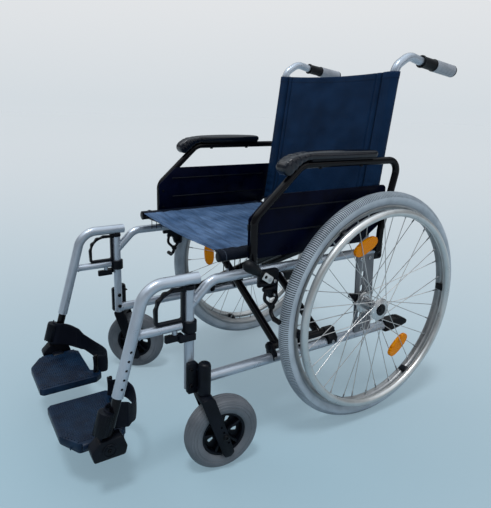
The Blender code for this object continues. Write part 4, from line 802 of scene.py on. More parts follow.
# %% Build the caster's centre
rim_rows = [(0.0152, 0.052), (0.0152, 0.0478), (0.0138, 0.0462), (0.006, 0.0452)]
boss_rows = [(0.0185, 0.005), (0.0185, 0.0095), (0.017, 0.011), (0.008, 0.0128)]
rim = turned(ring_section(rim_rows), axle, steps=72, closed=True)
boss = turned(ring_section(boss_rows), axle, steps=40, closed=True)
web = turned(ring_section([(0.0022, 0.01), (0.0022, 0.047)]), axle, steps=60, closed=True)
windows = []
for number in range(5):
    window = slab([(-0.0038, 0.023), (0.0038, 0.023), (0.0066, 0.038), (-0.0066, 0.038)], "X", -0.01, 0.01,
                  (0.0024, 0.0024, 0.0034, 0.0034), 0)
    window = turn_about(window, (0, 0, 0), "X", 2 * math.pi * (number + 0.67) / 5)
    windows.append(place(window, axle))
web = carve(web, *windows)
ribs = []
for number in range(5):
    rib = slab([(-0.003, 0.01), (0.003, 0.01), (0.0024, 0.028), (0.0032, 0.0465), (-0.0032, 0.0465),
                (-0.0024, 0.028)], "X", -0.0135, 0.0135, (), 0.0008)
    ribs.append(place(turn_about(rib, (0, 0, 0), "X", 2 * math.pi * (number + 0.17) / 5), axle))
pair(join(rim, boss, web, *ribs), "caster_centre", black_moulded, "caster_wheel", "caster_rim", swing=yaw)

# %% Bend the fork
crown_top, HOLE_STEP = 0.1925, 0.0155
leg_outline = [(STEM.y - 0.019, crown_top), (STEM.y + 0.014, crown_top), (axle.y + 0.022, 0.044),
               (axle.y + 0.013, 0.0345), (axle.y - 0.001, 0.0345), (axle.y - 0.006, 0.042)]
blank = slab(leg_outline, "X", STEM.x - 0.0292, STEM.x + 0.0292, (0.012, 0.01, 0.006, 0.004, 0.004, 0.004),
             0.0014)
pocket = brick((STEM.x - 0.0255, -0.7, -0.05), (STEM.x + 0.0255, -0.3, crown_top - 0.0135), 0.006, 4)
fork = carve(blank, pocket)
slope = Vector((0, 0.0525, -0.124)).normalized()
holes = [pin(axle + slope * step * HOLE_STEP, -0.05, 0.05, 0.0027, 16) for step in (-2, -1, 1)]
pair(carve(fork, *holes), "fork", black_moulded, "caster_fork", "caster_fork", swing=yaw)
bolts = [pin(axle, -0.0285, 0.0285, 0.004, 16)]
for side in (1, -1):
    bolts.append(pin(axle, side * 0.0188, side * 0.0256, 0.0066, 20, 0.0006))
    bolts.append(pin(axle, side * 0.029, side * 0.0298, 0.0084, 24, 0.0003))
    bolts.append(hex_bolt(axle + Vector((side * 0.0296, 0, 0)), (side, 0, 0), 0.0066, 0.0026))
pair(join(*bolts), "caster_axle", black_gloss, "caster_fork", slot="black_plastic", swing=yaw)

# %% [markdown]
# ## Side frame
#
# Each side is one welded frame of silver tube: an upright post at the front, a bent tube at seat height, a
# straight lower tube, a plate with slots for the axle, and a cane that carries the back and the push
# handle. The tubes are traced along their middle lines. Small rings of weld metal show where one tube meets
# another.

# %% Bend the frame tubes
FRAME_X, POST_Y, UPPER_Z, LOWER_Z, CANE_X = 0.2355, -0.511, 0.44, 0.208, 0.2235
HINGE_Y, HINGE_Z, CUP_Y, TUBE = 0.028, 0.452, -0.3655, 0.011
CANE_LEAN = math.radians(7.0)


def in_plane(x, *pairs):
    """Points of the drawing plane at x, from pairs of y and z."""
    return [(x, y, z) for y, z in pairs]


def cane_y(z):
    """Where the cane's middle line is at a height."""
    return 0.005 + (z - UPPER_Z) * math.tan(CANE_LEAN)


post = pipe(in_plane(FRAME_X, (POST_Y, 0.195), (POST_Y, 0.428)), (), TUBE, 28)
upper = pipe(in_plane(FRAME_X, (-0.508, 0.391), (-0.458, UPPER_Z), (0.0298, UPPER_Z)), (0, 0.04), TUBE, 28)
lower = pipe(in_plane(FRAME_X, (-0.508, LOWER_Z), (0.1298, LOWER_Z)), (), 0.0125, 28)
cane_line = in_plane(CANE_X, (cane_y(0.426), 0.426), (cane_y(0.908), 0.908), (0.108, 0.936), (0.15, 0.9265),
                     (0.28, 0.9088))
cane = pipe(cane_line, (0, 0.034, 0.036, 0.03), TUBE, 28, 12)


def weld_ring(place, way, radius, size=0.0016):
    """A bead of weld metal round a tube."""
    return torus(place, Vector(way).to_track_quat("Z", "Y").to_euler(), radius, size, 32, 8)


beads = [weld_ring((FRAME_X, POST_Y + 0.0108, 0.3995), (0, 0.73, 0.68), 0.0112),
         weld_ring((FRAME_X, POST_Y + 0.0104, LOWER_Z), (0, 1, 0), 0.0124)]
print("tubes and", len(beads), "beads")

# %% Cut the axle plate and its slots
plate = slab([(-0.033, 0.445), (0.028, 0.445), (0.0425, 0.203), (-0.0195, 0.203)], "X", 0.2395, 0.2455,
             (0.004, 0.004, 0.005, 0.005), 0.0009)


def slot_blank(y, z, length, radius, low, high):
    """An upright slot to cut from a plate."""
    half = length / 2
    return slab([(y - radius, z - half), (y + radius, z - half), (y + radius, z + half),
                 (y - radius, z + half)], "X", low, high, (radius * 0.98,) * 4, 0, 8)


slots = [slot_blank(-0.006, WHEEL_R + step * 0.038, 0.021, 0.0062, 0.23, 0.256) for step in (2, 1, -1)]
plate = carve(plate, *slots)
stub = turned([(0.2425, 0), (0.2425, 0.01), (0.2474, 0.01), (0.2474, 0.006), (0.309, 0.006), (0.309, 0)],
              (0, 0, WHEEL_R), steps=32)
plate_bolts = bolts_on(0.2455, 1, 0.0052, 0.0026, (-0.018, 0.424), (0.012, 0.424), (0.004, 0.224))
pair(join(post, upper, lower, cane, *beads), "frame_tubes", silver, "frame", "side_frame")
# The axle plate gets the darker copy of the silver: painted shade.
pair(plate, "axle_plate", plate_painted_shade, "frame")
pair(join(stub, *plate_bolts), "axle_stub", zinc, "frame", slot="silver_powder_coat")
plate_stop = slab([(-0.047, 0.332), (-0.02, 0.329), (-0.012, 0.318), (-0.012, 0.299), (-0.026, 0.299),
                   (-0.034, 0.316), (-0.047, 0.322)], "X", 0.2375, 0.25,
                  (0.003, 0.004, 0.004, 0.004, 0.004, 0, 0.003), 0.0014)
pair(plate_stop, "plate_stop", black_moulded, "frame")

# %% [markdown]
# ## Fittings on the frame
#
# Black moulded and cast parts are clamped to the tubes: the caster's housing on the post, the clamp where
# the seat tube meets the cane, the saddle that the seat rail drops into, and the pedal that a helper steps
# on to tip the chair over a kerb.

# %% Mould the caster housing
housing = turned([(0.193, 0), (0.193, 0.013), (0.1945, 0.0145), (0.259, 0.0145), (0.264, 0.0132),
                  (0.2668, 0.01), (0.268, 0.005), (0.268, 0)], (STEM.x, STEM.y, 0), "Z", 40)
flange = slab([(POST_Y - 0.0135, 0.193), (POST_Y + 0.0195, 0.193), (POST_Y + 0.0195, 0.25),
               (POST_Y + 0.008, 0.2655), (POST_Y - 0.0135, 0.2655)], "X", 0.2468, 0.259,
              (0.004, 0.004, 0.006, 0.006, 0.006), 0.0012)
webs = [brick((0.256, STEM.y - 0.015, z - 0.0012), (0.27, STEM.y + 0.0158, z + 0.0012), 0.0004)
        for z in (0.206, 0.25)]
housing_set = join(housing, flange, *webs)
pair(housing_set, "caster_bearing", black_moulded, "frame", "caster_housing")
housing_bolts = bolts_on(0.2588, 1, 0.005, 0.003, (POST_Y - 0.0065, 0.213), (POST_Y - 0.0065, 0.251))
housing_bolts += bolts_on(FRAME_X - 0.0106, -1, 0.0056, 0.0032, (POST_Y, 0.215), (POST_Y, 0.25))
pair(join(*housing_bolts), "housing_bolts", black_gloss, "frame")
plug = turned([(0.1938, 0), (0.1938, 0.009), (0.1948, 0.0112), (0.196, 0.0112), (0.196, 0)],
              (FRAME_X, POST_Y, 0), "Z", 32)
pair(plug, "post_plug", black_moulded, "frame")

# %% Mould the cane clamp
clamp = slab([(0.03, 0.4155), (0.06, 0.4155), (0.06, 0.4645), (0.03, 0.4645), (0.018, 0.4635),
              (0.018, 0.4415), (0.03, 0.441)], "X", 0.2146, 0.2438, (0.004, 0.008, 0.008, 0.004, 0.005),
             0.0026, 6)
clamp_slit = brick((0.21, 0.044, 0.41), (0.25, 0.045, 0.47), 0.0002)
clamp = carve(clamp, clamp_slit)
hinge_eye = pin((0, HINGE_Y, HINGE_Z), 0.232, 0.2476, 0.0108, 28, 0.001)
pair(join(clamp, hinge_eye), "clamp_block", black_moulded, "frame", "cane_clamp")
clamp_bolts = bolts_on(0.2436, 1, 0.0046, 0.0024, (0.0525, 0.425), (0.0525, 0.455))
clamp_bolts.append(pin((0, HINGE_Y, HINGE_Z), 0.245, 0.2635, 0.0048, 24, 0.0006))
pair(join(*clamp_bolts), "clamp_bolts", black_gloss, "frame")

# %% Mould the seat saddle
cradle = brick((0.2085, -0.425, 0.442), (0.2385, -0.35, 0.477), 0.0016, 3)
base = brick((0.2235, -0.42, 0.438), (0.2475, -0.352, 0.456), 0.002, 3)
cup = slab([(0.2415, -0.379), (0.2672, -0.379), (0.2672, -0.352), (0.2415, -0.352)], "Z", 0.4412, 0.4638,
           (0.004, 0.009, 0.009, 0.004), 0.0016)
saddle = carve(join(cradle, base, cup), bar((CANE_X, -0.44, 0.483), (CANE_X, -0.33, 0.483), 0.0116, 32),
               bar((FRAME_X, -0.44, UPPER_Z), (FRAME_X, -0.33, UPPER_Z), 0.0108, 32),
               bar((0.2565, CUP_Y, 0.4572), (0.2565, CUP_Y, 0.47), 0.0096, 32))
ribs = [brick((0.208, y - 0.001, 0.444), (0.2092, y + 0.001, 0.474), 0.0003)
        for y in (-0.412, -0.3975, -0.383, -0.3685)]
pair(join(saddle, *ribs), "rail_cradle", black_moulded, "frame", "seat_saddle")

# %% Mould the pedal
pedal = slab([(0.0985, 0.225), (0.14, 0.225), (0.17, 0.2225), (0.1905, 0.211), (0.187, 0.2005),
              (0.166, 0.196), (0.132, 0.1915), (0.0985, 0.1915)], "X", 0.2205, 0.2505,
             (0.005, 0.02, 0.014, 0.007, 0.007, 0.014, 0.014, 0.005), 0.0036, 5)
pedal = carve(pedal, bar((FRAME_X, 0.08, LOWER_Z), (FRAME_X, 0.127, LOWER_Z), 0.0122, 32))
treads = []
for number in range(6):
    share = number / 5
    spot = Vector((0, 0.148 + 0.033 * share, 0.2248 - 0.0092 * share ** 1.9))
    treads.append(brick((0.2235, spot.y - 0.0011, spot.z - 0.004),
                        (0.2475, spot.y + 0.0011, spot.z + 0.0008), 0.0004))
pair(join(pedal, *treads), "tipping_pedal", black_rubber, "frame", "tip_lever", smooth=40)

# %% Turn the push grip
GRIP_FROM, GRIP_TO = Vector((CANE_X, 0.154, 0.9259)), Vector((CANE_X, 0.282, 0.9085))
grip_slope = math.atan2(GRIP_TO.z - GRIP_FROM.z, GRIP_TO.y - GRIP_FROM.y)
sleeve_profile = [(0, 0.0111), (0, 0.015), (0.0012, 0.016), (0.0042, 0.016), (0.0056, 0.0148),
                  (0.008, 0.0144), (0.046, 0.0144), (0.048, 0.015), (0.0494, 0.016), (0.0518, 0.016),
                  (0.0528, 0.015), (0.0528, 0.0111)]
barrel_profile = [(0.0524, 0.0111), (0.0524, 0.015)]
for number in range(5):
    crest = 0.062 + number * 0.0135
    barrel_profile += [(crest - 0.005, 0.0156), (crest, 0.016), (crest + 0.005, 0.0156),
                       (crest + 0.0067, 0.0153)]
barrel_profile += [(0.1285, 0.016), (0.129, 0.015), (0.129, 0.0111)]
cap_profile = [(0.128, 0), (0.128, 0.0158), (0.131, 0.016), (0.1335, 0.015), (0.1348, 0.0122),
               (0.1351, 0.008), (0.1351, 0)]


def on_handle(profile, closed):
    """Turn a profile along Y, tilt it and put it on the push handle."""
    return place(turn_about(turned(profile, (0, 0, 0), "Y", 40, closed), (0, 0, 0), "X", grip_slope),
                 GRIP_FROM)


pair(on_handle(sleeve_profile, True), "grip_sleeve", black_rubber, "frame")
pair(on_handle(barrel_profile, True), "grip_barrel", grip_grey, "frame", "push_grip")
pair(on_handle(cap_profile, False), "grip_cap", black_rubber, "frame")

# %% [markdown]
# ## Cross brace
#
# Two pairs of black tubes cross under the seat like scissors. Each arm turns on a rod beside one lower tube
# and carries the seat rail on the other side. The rods are held by three lugs, and the arms are bolted
# together in the middle, so that all of it folds together.

# %% Shape the lugs and the rod
PIVOT_X, PIVOT_Z, RAIL_Z, OVAL = 0.225, 0.233, 0.483, 0.26
lug_outline = [(0.2197, 0.206), (0.2513, 0.206), (0.2513, 0.222), (0.234, 0.244), (0.217, 0.244),
               (0.2157, 0.236), (0.2157, 0.22)]
lugs = []
for front, rear in ((-0.29, -0.28), (-0.204, -0.191), (-0.115, -0.085)):
    lugs.append(slab(lug_outline, "Y", front, rear, (0.003, 0.004, 0.006, 0.008, 0.006, 0, 0.004), 0.0012))
rod = bar((PIVOT_X, -0.293, PIVOT_Z), (PIVOT_X, -0.082, PIVOT_Z), 0.006, 24, 0.001)
front_cap = turned([(-0.2945, 0), (-0.2945, 0.006), (-0.293, 0.009), (-0.29, 0.01), (-0.2895, 0.01),
                    (-0.2895, 0)], (PIVOT_X, 0, PIVOT_Z), "Y", 36)
rear_block = brick((0.2168, -0.089, 0.223), (0.2345, -0.08, 0.243), 0.0035, 4)
pair(join(*lugs, rod, front_cap, rear_block), "brace_lugs", black_moulded, "frame", "brace_bearing")
lug_bolts = bolts_on(0.251, 1, 0.0042, 0.0022, (-0.285, 0.213), (-0.1975, 0.213), (-0.1, 0.213))
pair(join(*lug_bolts), "lug_bolts", zinc, "frame")

# %% Draw the two arms
def brace_arm(name, legs, side):
    """An arm that turns beside one lower tube and carries the seat rail on the other side."""
    middle = PIVOT_Z + (RAIL_Z - PIVOT_Z) * PIVOT_X / (PIVOT_X + CANE_X)
    tubes = [pipe([(side * PIVOT_X, y, PIVOT_Z), (-side * CANE_X, y, RAIL_Z)], (), 0.0095, 28)
             for y in legs]
    run = Vector((-side * (PIVOT_X + CANE_X), 0, RAIL_Z - PIVOT_Z)).normalized()
    over = Vector((-run.z, 0, run.x))
    for tube in tubes:
        for vert in tube.data.vertices:
            vert.co += over * (vert.co - Vector((side * PIVOT_X, 0, PIVOT_Z))).dot(over) * OVAL
    for y in legs:
        tubes.append(weld_ring(Vector((side * PIVOT_X, y, PIVOT_Z)) + run * 0.0112, run, 0.0094, 0.0013))
        tubes.append(weld_ring(Vector((-side * CANE_X, y, RAIL_Z)) - run * 0.0118, run, 0.0094, 0.0013))
    for front, rear in ((-0.2797, -0.2043), (-0.1907, -0.1153)):
        tubes.append(turned([(front, 0.0066), (front, 0.0096), (front + 0.0006, 0.0101),
                             (rear - 0.0006, 0.0101), (rear, 0.0096), (rear, 0.0066)],
                            (side * PIVOT_X, 0, PIVOT_Z), "Y", 36, True))
    tubes.append(pipe([(-side * CANE_X, -0.436, RAIL_Z), (-side * CANE_X, -0.0125, RAIL_Z)], (), TUBE, 28))
    arm = place(join(*tubes), (0, AXLE_Y, 0))
    dress(arm, name + "_tubes", black_gloss, name, [name], "black_tube")
    ends = [turned([(end, 0), (end, 0.009), (end + turn * 0.0008, 0.0106), (end + turn * 0.004, 0.0114),
                    (end + turn * 0.0046, 0.0112), (end + turn * 0.0046, 0)], (-side * CANE_X, 0, RAIL_Z),
                   "Y", 32) for end, turn in ((-0.437, 1), (-0.012, -1))]
    dress(place(join(*ends), (0, AXLE_Y, 0)), name + "_caps", black_moulded, name)
    return middle


crossing = brace_arm("brace_a", (-0.265, -0.13), 1)
brace_arm("brace_b", (-0.241, -0.154), -1)
studs = []
for outer_leg, inner_leg, far in ((-0.265, -0.241, 0.0125), (-0.13, -0.154, -0.0125)):
    way = math.copysign(1, far)
    studs.append(bar((0, outer_leg - way * 0.0085, crossing), (0, inner_leg + far, crossing), 0.0048, 20,
                     0.0004))
    studs.append(hex_bolt((0, outer_leg - way * 0.0095, crossing), (0, -way, 0), 0.0072, 0.003))
    studs.append(hex_bolt((0, inner_leg + way * 0.01, crossing), (0, way, 0), 0.0064, 0.0024))
dress(place(join(*studs), (0, AXLE_Y, 0)), "brace_bolts", zinc, "brace_a")

# %% [markdown]
# ## Armrest
#
# A glossy black tube rises from the cup, bends over the seat and comes down to the hinge on the cane. A
# thin plastic panel fills it and keeps clothes off the wheel, and a long padded rest is screwed on top.

# %% Bend the armrest tube
ARM_X = 0.2565
arm_tube = pipe(in_plane(ARM_X, (CUP_Y, 0.4575), (CUP_Y, 0.568), (-0.2413, 0.6805), (0.0725, 0.6805),
                         (0.03, 0.502), (0.028, 0.445)), (0, 0.03, 0.04, 0.03, 0.03), 0.009, 28, 12)
arm_eye = turned([(0.2482, 0.0054), (0.2482, 0.01), (0.249, 0.0109), (0.2607, 0.0109), (0.2615, 0.01),
                  (0.2615, 0.0054)], (0, HINGE_Y, HINGE_Z), "X", 36, True)
pair(join(arm_tube, arm_eye), "armrest_tube", black_gloss, "armrest", "armrest_frame", slot="black_tube")

# %% Mould the side panel
panel_outline = [(-0.3735, 0.474), (-0.03, 0.472), (0.026, 0.508), (0.045, 0.524), (0.045, 0.617),
                 (-0.3193, 0.617), (-0.3735, 0.568)]
panel = slab(panel_outline, "X", 0.2433, 0.2472, (0.01, 0.012, 0.01, 0.01, 0.012, 0.012, 0.01), 0.0008)
panel_ribs = []
for height in (0.53, 0.585):
    panel_ribs.append(bar((0.2433, -0.33, height), (0.2433, 0.0, height), 0.0018, 12, 0.0012))
    panel_ribs.append(bar((0.2472, -0.345, height), (0.2472, 0.028, height), 0.0018, 12, 0.0012))
pair(panel, "clothing_guard", black_panel, "armrest", "side_panel")
pair(join(*panel_ribs), "guard_ribs", black_moulded, "armrest")
clips = [brick((0.244, y - 0.0105, z - 0.007), (0.25, y + 0.0105, z + 0.007), 0.0012, 3)
         for y, z in ((CUP_Y, 0.5), (CUP_Y, 0.548), (0.0452, 0.566))]
screws = bolts_on(0.2434, -1, 0.0036, 0.0016, (-0.36, 0.5), (-0.36, 0.548), (0.036, 0.566))
pair(join(*clips, *screws), "panel_clips", black_moulded, "armrest")

# %% [markdown]
# ## Arm pad
#
# Leatherette over foam: full, with rounded sides, a nose that follows the tube's bend and small folds where
# the skin turns round it. A block is drawn from the side, cut into even faces, and blown up a little as
# cloth, with its underside held flat on the tube.

# %% Blow up the pad
FULLEST = 0.004


def pad_outline():
    """The pad from the side: flat under the straight tube, then down along the bend."""
    slope = math.atan2(0.1125, 0.1242)
    centre = Vector((-0.2413 + 0.04 * math.tan(slope / 2), 0.6405))
    under = [(centre.x + 0.051 * math.cos(turn), centre.y + 0.051 * math.sin(turn))
             for turn in (math.pi / 2 + slope * step / 5 for step in range(6))]
    last_y, last_z = under[-1]
    chin = (last_y - 0.033 * math.cos(slope), last_z - 0.033 * math.sin(slope))
    nose = [(chin[0] - 0.013, chin[1] + 0.002), (chin[0] - 0.022, chin[1] + 0.016),
            (chin[0] - 0.017, chin[1] + 0.031), (chin[0] + 0.006, chin[1] + 0.045)]
    top = [(-0.23, 0.7085), (-0.13, 0.709), (-0.0205, 0.7085)]
    return [(-0.0205, 0.6905)] + under + [chin] + nose + top


pad_block = slab(pad_outline(), "X", ARM_X - 0.0185, ARM_X + 0.0185,
                 (0, 0, 0, 0, 0, 0, 0, 0.006, 0, 0, 0.02, 0.03), 0.005, 4)
use(pad_block, "REMESH", mode="VOXEL", voxel_size=0.0042)


def inflate(piece, pressure, frames, pinned):
    """Blow the piece up as cloth, with some of its vertices held."""
    held = piece.vertex_groups.new(name="held")
    held.add([v.index for v in piece.data.vertices if pinned(v.co)], 1.0, "REPLACE")
    start = [v.co.copy() for v in piece.data.vertices]
    cloth = piece.modifiers.new("cloth", "CLOTH")
    cloth.settings.use_pressure = True
    cloth.settings.uniform_pressure_force = pressure
    cloth.settings.effector_weights.gravity = 0
    cloth.settings.vertex_group_mass = "held"
    cloth.settings.quality = 5
    cloth.point_cache.frame_end = frames
    for number in range(1, frames + 1):
        bpy.context.scene.frame_set(number)
    only(piece)
    bpy.ops.object.modifier_apply(modifier="cloth")
    for vert, before in zip(piece.data.vertices, start):
        move = vert.co - before
        if move.length > FULLEST:
            vert.co = before + move.normalized() * FULLEST
    bpy.context.scene.frame_set(1)
    piece.vertex_groups.clear()


inflate(pad_block, 3.5, 14, lambda spot: spot.z < 0.6945 and abs(spot.x - ARM_X) < 0.012 and spot.y > -0.25)


def pad_fold(spot):
    """How far the skin is drawn in at a point: a few soft folds round the nose."""
    near = max(0.0, 1 - abs(spot.y + 0.262) / 0.046)
    folds = math.sin((spot.y * 0.82 + spot.z * 0.57) * 460 + 1.6 * math.sin(spot.x * 190))
    return 0.0017 * near * folds * max(0.0, 1 - abs(folds) * 0.35)


use(pad_block, "SMOOTH", factor=0.5, iterations=3)
for vert in pad_block.data.vertices:
    vert.co += vert.normal * pad_fold(vert.co)
pad = use(pad_block, "SUBSURF", levels=1, render_levels=1)
for made in pair(pad, "arm_cushion", leatherette, "armrest", "arm_pad", "arm_pad", 180):
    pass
pad_base = brick((ARM_X - 0.015, -0.226, 0.688), (ARM_X + 0.015, -0.026, 0.693), 0.0012)
pad_screws = [bar((ARM_X, y, 0.669), (ARM_X, y, 0.6725), 0.0046, 20, 0.0008) for y in (-0.19, -0.06)]
pair(join(pad_base, *pad_screws), "pad_base", black_moulded, "armrest")

# %% [markdown]
# ## Wheel lock
#
# A knob on a bright lever works a small bent arm, which presses a rod on the tyre. The lock's body is
# clamped to the seat tube with two screws.

# %% Build the lock
LOCK_AT = Vector((0, -0.33, 0.43))
lock_outline = [(-0.347, 0.447), (-0.347, 0.414), (-0.326, 0.4), (-0.319, 0.378), (-0.296, 0.378),
                (-0.295, 0.447)]
lock_body = slab(lock_outline, "X", 0.2468, 0.26, (0.005, 0.006, 0.006, 0.005, 0.006, 0.005), 0.0016)
window = slab([(-0.3155, 0.385), (-0.303, 0.385), (-0.303, 0.4), (-0.315, 0.404)], "X", 0.24, 0.253,
              (0.003,) * 4, 0)
boss = pin(LOCK_AT, 0.259, 0.2692, 0.0085, 28, 0.0008)
ridge = slab([(-0.343, 0.443), (-0.3, 0.443), (-0.3, 0.437), (-0.343, 0.437)], "X", 0.259, 0.2618,
             (0.0025,) * 4, 0.0008)
barrel = bar((0.262, -0.354, 0.417), (0.262, -0.312, 0.417), 0.0066, 24, 0.0026)
lower_barrel = bar((0.262, -0.34, 0.403), (0.262, -0.302, 0.403), 0.005, 24, 0.002)
pair(join(carve(lock_body, window), boss, ridge, barrel, lower_barrel), "lock_plate", black_moulded,
     "frame", "lock_body")
pins = [pin(LOCK_AT, 0.255, 0.2755, 0.0038, 20, 0.0006)]
pins.append(pin((0, -0.307, 0.387), 0.255, 0.2663, 0.0038, 20, 0.0006))
pins += bolts_on(0.2598, 1, 0.0044, 0.0026, (-0.3055, 0.418))
pair(join(*pins), "lock_pins", zinc, "frame")

along = Vector((0, -0.056, 0.039)).normalized()
tilt = math.atan2(along.z, along.y)


def leaned(outline, centre, turn):
    """Turn a flat outline about the drawing's origin, and move it to its centre."""
    cos, sin = math.cos(turn), math.sin(turn)
    return [(centre[0] + a * cos - b * sin, centre[1] + a * sin + b * cos) for a, b in outline]


lever_middle = (LOCK_AT + along * 0.034).yz
lever = slab(leaned([(-0.0425, -0.0075), (0.0425, -0.0085), (0.0425, 0.0085), (-0.0425, 0.0075)],
                    lever_middle, tilt), "X", 0.2695, 0.2733, (0.007, 0.008, 0.008, 0.007), 0.0006, 8)
lever = carve(lever, pin(LOCK_AT, 0.26, 0.28, 0.0044, 24))
pair(lever, "lock_handle", black_gloss, "lock_lever", "lock_lever")
tab_flat = [(-0.008, -0.0084), (0.0215, -0.009), (0.0215, 0.009), (-0.008, 0.0084)]
tab = slab(leaned(tab_flat, LOCK_AT.yz, tilt), "X", 0.27345, 0.2747, (0.005, 0.003, 0.003, 0.005), 0.0004)
tab = carve(tab, pin(LOCK_AT, 0.26, 0.28, 0.0044, 24), pin(LOCK_AT + along * 0.0135, 0.26, 0.28, 0.004, 24))
pair(tab, "lock_tab", spoke_steel, "lock_lever", slot="black_steel")
knob = turned([(-0.024, 0), (-0.0236, 0.0058), (-0.0215, 0.0086), (-0.012, 0.0108), (0.002, 0.0132),
               (0.012, 0.014), (0.019, 0.0122), (0.0232, 0.0072), (0.0245, 0)], (0, 0, 0), "Y", 40)
knob = place(turn_about(knob, (0, 0, 0), "X", tilt), Vector((0.279, -0.386, 0.469)) - along * 0.006)
pair(knob, "lock_knob", black_rubber, "lock_lever", smooth=60)

shoe_y = -0.3185
front_path = in_plane(0.2645, (-0.333, 0.402), (-0.337, 0.38), (-0.317, 0.36))
front_link = pipe(front_path, (0, 0.014), 0.0042, 16, 8)
rear_path = in_plane(0.2645, (-0.305, 0.393), (-0.301, 0.376), (-0.315, 0.36))
rear_link = pipe(rear_path, (0, 0.01), 0.0042, 16, 8)
joint = pin((0, -0.3155, 0.36), 0.26, 0.269, 0.0078, 28, 0.0014)
arm = pipe([(0.264, -0.315, 0.36), (0.266, shoe_y + 0.0005, 0.346), (0.278, shoe_y, 0.336),
            (0.286, shoe_y, 0.335)], (0, 0.01, 0.012), 0.0048, 20, 8)
shoe = turned([(0.28, 0), (0.28, 0.0052), (0.2806, 0.006), (0.286, 0.006), (0.2868, 0.0054),
               (0.288, 0.0054), (0.2888, 0.006), (0.301, 0.006), (0.3022, 0.0048), (0.3022, 0)],
              (0, shoe_y, 0.335), "X", 32)
pair(join(front_link, rear_link, joint, arm, shoe), "lock_arm", black_gloss, "lock_shoe", "lock_shoe")

# %% [markdown]
# ## Legrest hanger
#
# A silver tube leaves the post, bends down and ends in a row of holes that set the footplate's height. A
# short strut ties it to the post. The black finger grip above the strut has waves for the fingers.

# %% Bend the hanger and drill its holes
HANGER_SLOPE, HANGER_Z, HANGER_END, STRUT_Z, LATCH_Y = math.radians(15.7), 0.4495, 0.222, 0.348, -0.545


def hanger_y(z):
    """Where the hanger's straight lower part is at a height."""
    return -0.609 - (HANGER_Z - z) * math.tan(HANGER_SLOPE)


def on_hanger(z):
    """A point of the hanger's middle line at a height."""
    return Vector((FRAME_X, hanger_y(z), z))


hanger = pipe([(FRAME_X, -0.4892, HANGER_Z), (FRAME_X, -0.609, HANGER_Z), on_hanger(HANGER_END)], (0, 0.05),
              0.0125, 32, 16)
down = (on_hanger(HANGER_END) - on_hanger(0.32)).normalized()
holes = [on_hanger(0.32) + down * number * 0.02 for number in range(5)]
hanger = carve(hanger, *[pin(spot, 0.009, 0.02, 0.003, 20) for spot in holes],
               bar(on_hanger(HANGER_END) + down * 0.01, on_hanger(HANGER_END) - down * 0.02, 0.0103, 32),
               bar((FRAME_X, -0.48, HANGER_Z), (FRAME_X, -0.498, HANGER_Z), 0.0105, 32))
strut = bar(on_hanger(STRUT_Z), (FRAME_X, -0.5305, STRUT_Z), 0.0095, 28, 0.0005)
lug = bar((FRAME_X, LATCH_Y, STRUT_Z), (FRAME_X, LATCH_Y, 0.331), 0.006, 20, 0.0005)
bead = weld_ring((FRAME_X, hanger_y(STRUT_Z) + 0.0132, STRUT_Z), (0, 1, 0), 0.0096)
pair(join(hanger, strut, lug, bead), "hanger_tube", silver, "hanger", "hanger")
# Dark discs at the bottoms of the holes and of the open end: partly the black sliding tube inside, partly
# painted shade in the hollow tube.
dark = [pin(spot, 0.0082, 0.0096, 0.0031, 16) for spot in holes]
dark.append(bar((FRAME_X, -0.499, HANGER_Z), (FRAME_X, -0.497, HANGER_Z), 0.0106, 28))
pair(join(*dark), "hanger_holes_tube_and_shade", black_rubber, "hanger")
latch_pin = bar((FRAME_X, LATCH_Y, 0.34), (FRAME_X, LATCH_Y, 0.316), 0.0027, 16, 0.0004)
pair(latch_pin, "latch_pin", zinc, "hanger")

# %% Mould the finger grip and the post collar
WAVE_STEPS = 24


def grip_outline(inset):
    """The grip's outline: straight beside the post, and wavy where the fingers go."""
    rear, front = POST_Y - 0.0125 - inset, -0.59 + inset
    low, high = 0.3578 + inset, 0.4325 - inset
    corner = (-0.548, 0.392)
    points = [(rear, low), (rear, high)]
    for step in range(WAVE_STEPS + 1):
        turn = math.pi / 2 * step / WAVE_STEPS
        wave = 0.0016 * math.cos(12 * turn) if inset == 0 else 0
        points.append((corner[0] + (front - corner[0] - wave) * math.sin(turn),
                       corner[1] + (high - corner[1] + wave) * math.cos(turn)))
    return points + [(front, low)]


wavy = (0,) * (WAVE_STEPS + 1)
grip_loop = slab(grip_outline(0), "X", FRAME_X - 0.0062, FRAME_X + 0.0062, (0.002, 0.002, *wavy, 0.006), 0)
grip_gap = slab(grip_outline(0.0058), "X", FRAME_X - 0.02, FRAME_X + 0.02, (0.004, 0.004, *wavy, 0.004), 0)
grip_loop = soften(carve(grip_loop, grip_gap), 0.0016, 3)
collar = turned([(0.331, 0.0114), (0.331, 0.0155), (0.332, 0.0165), (0.356, 0.0165), (0.357, 0.0155),
                 (0.357, 0.0114)], (FRAME_X, POST_Y, 0), "Z", 40, True)
leg = brick((FRAME_X - 0.0062, -0.53, 0.337), (FRAME_X + 0.0062, -0.5235, 0.362), 0.0014, 3)
cap = turned([(0.4283, 0), (0.4283, 0.0118), (0.429, 0.0125), (0.4345, 0.0125), (0.4365, 0.0115),
              (0.4368, 0)], (FRAME_X, POST_Y, 0), "Z", 36)
bridge = brick((FRAME_X - 0.0062, -0.53, 0.4245), (FRAME_X + 0.0062, -0.516, 0.4363), 0.0012, 3)
pair(join(grip_loop, collar, leg, cap, bridge), "finger_grip", black_moulded, "hanger", "hanger_guard")

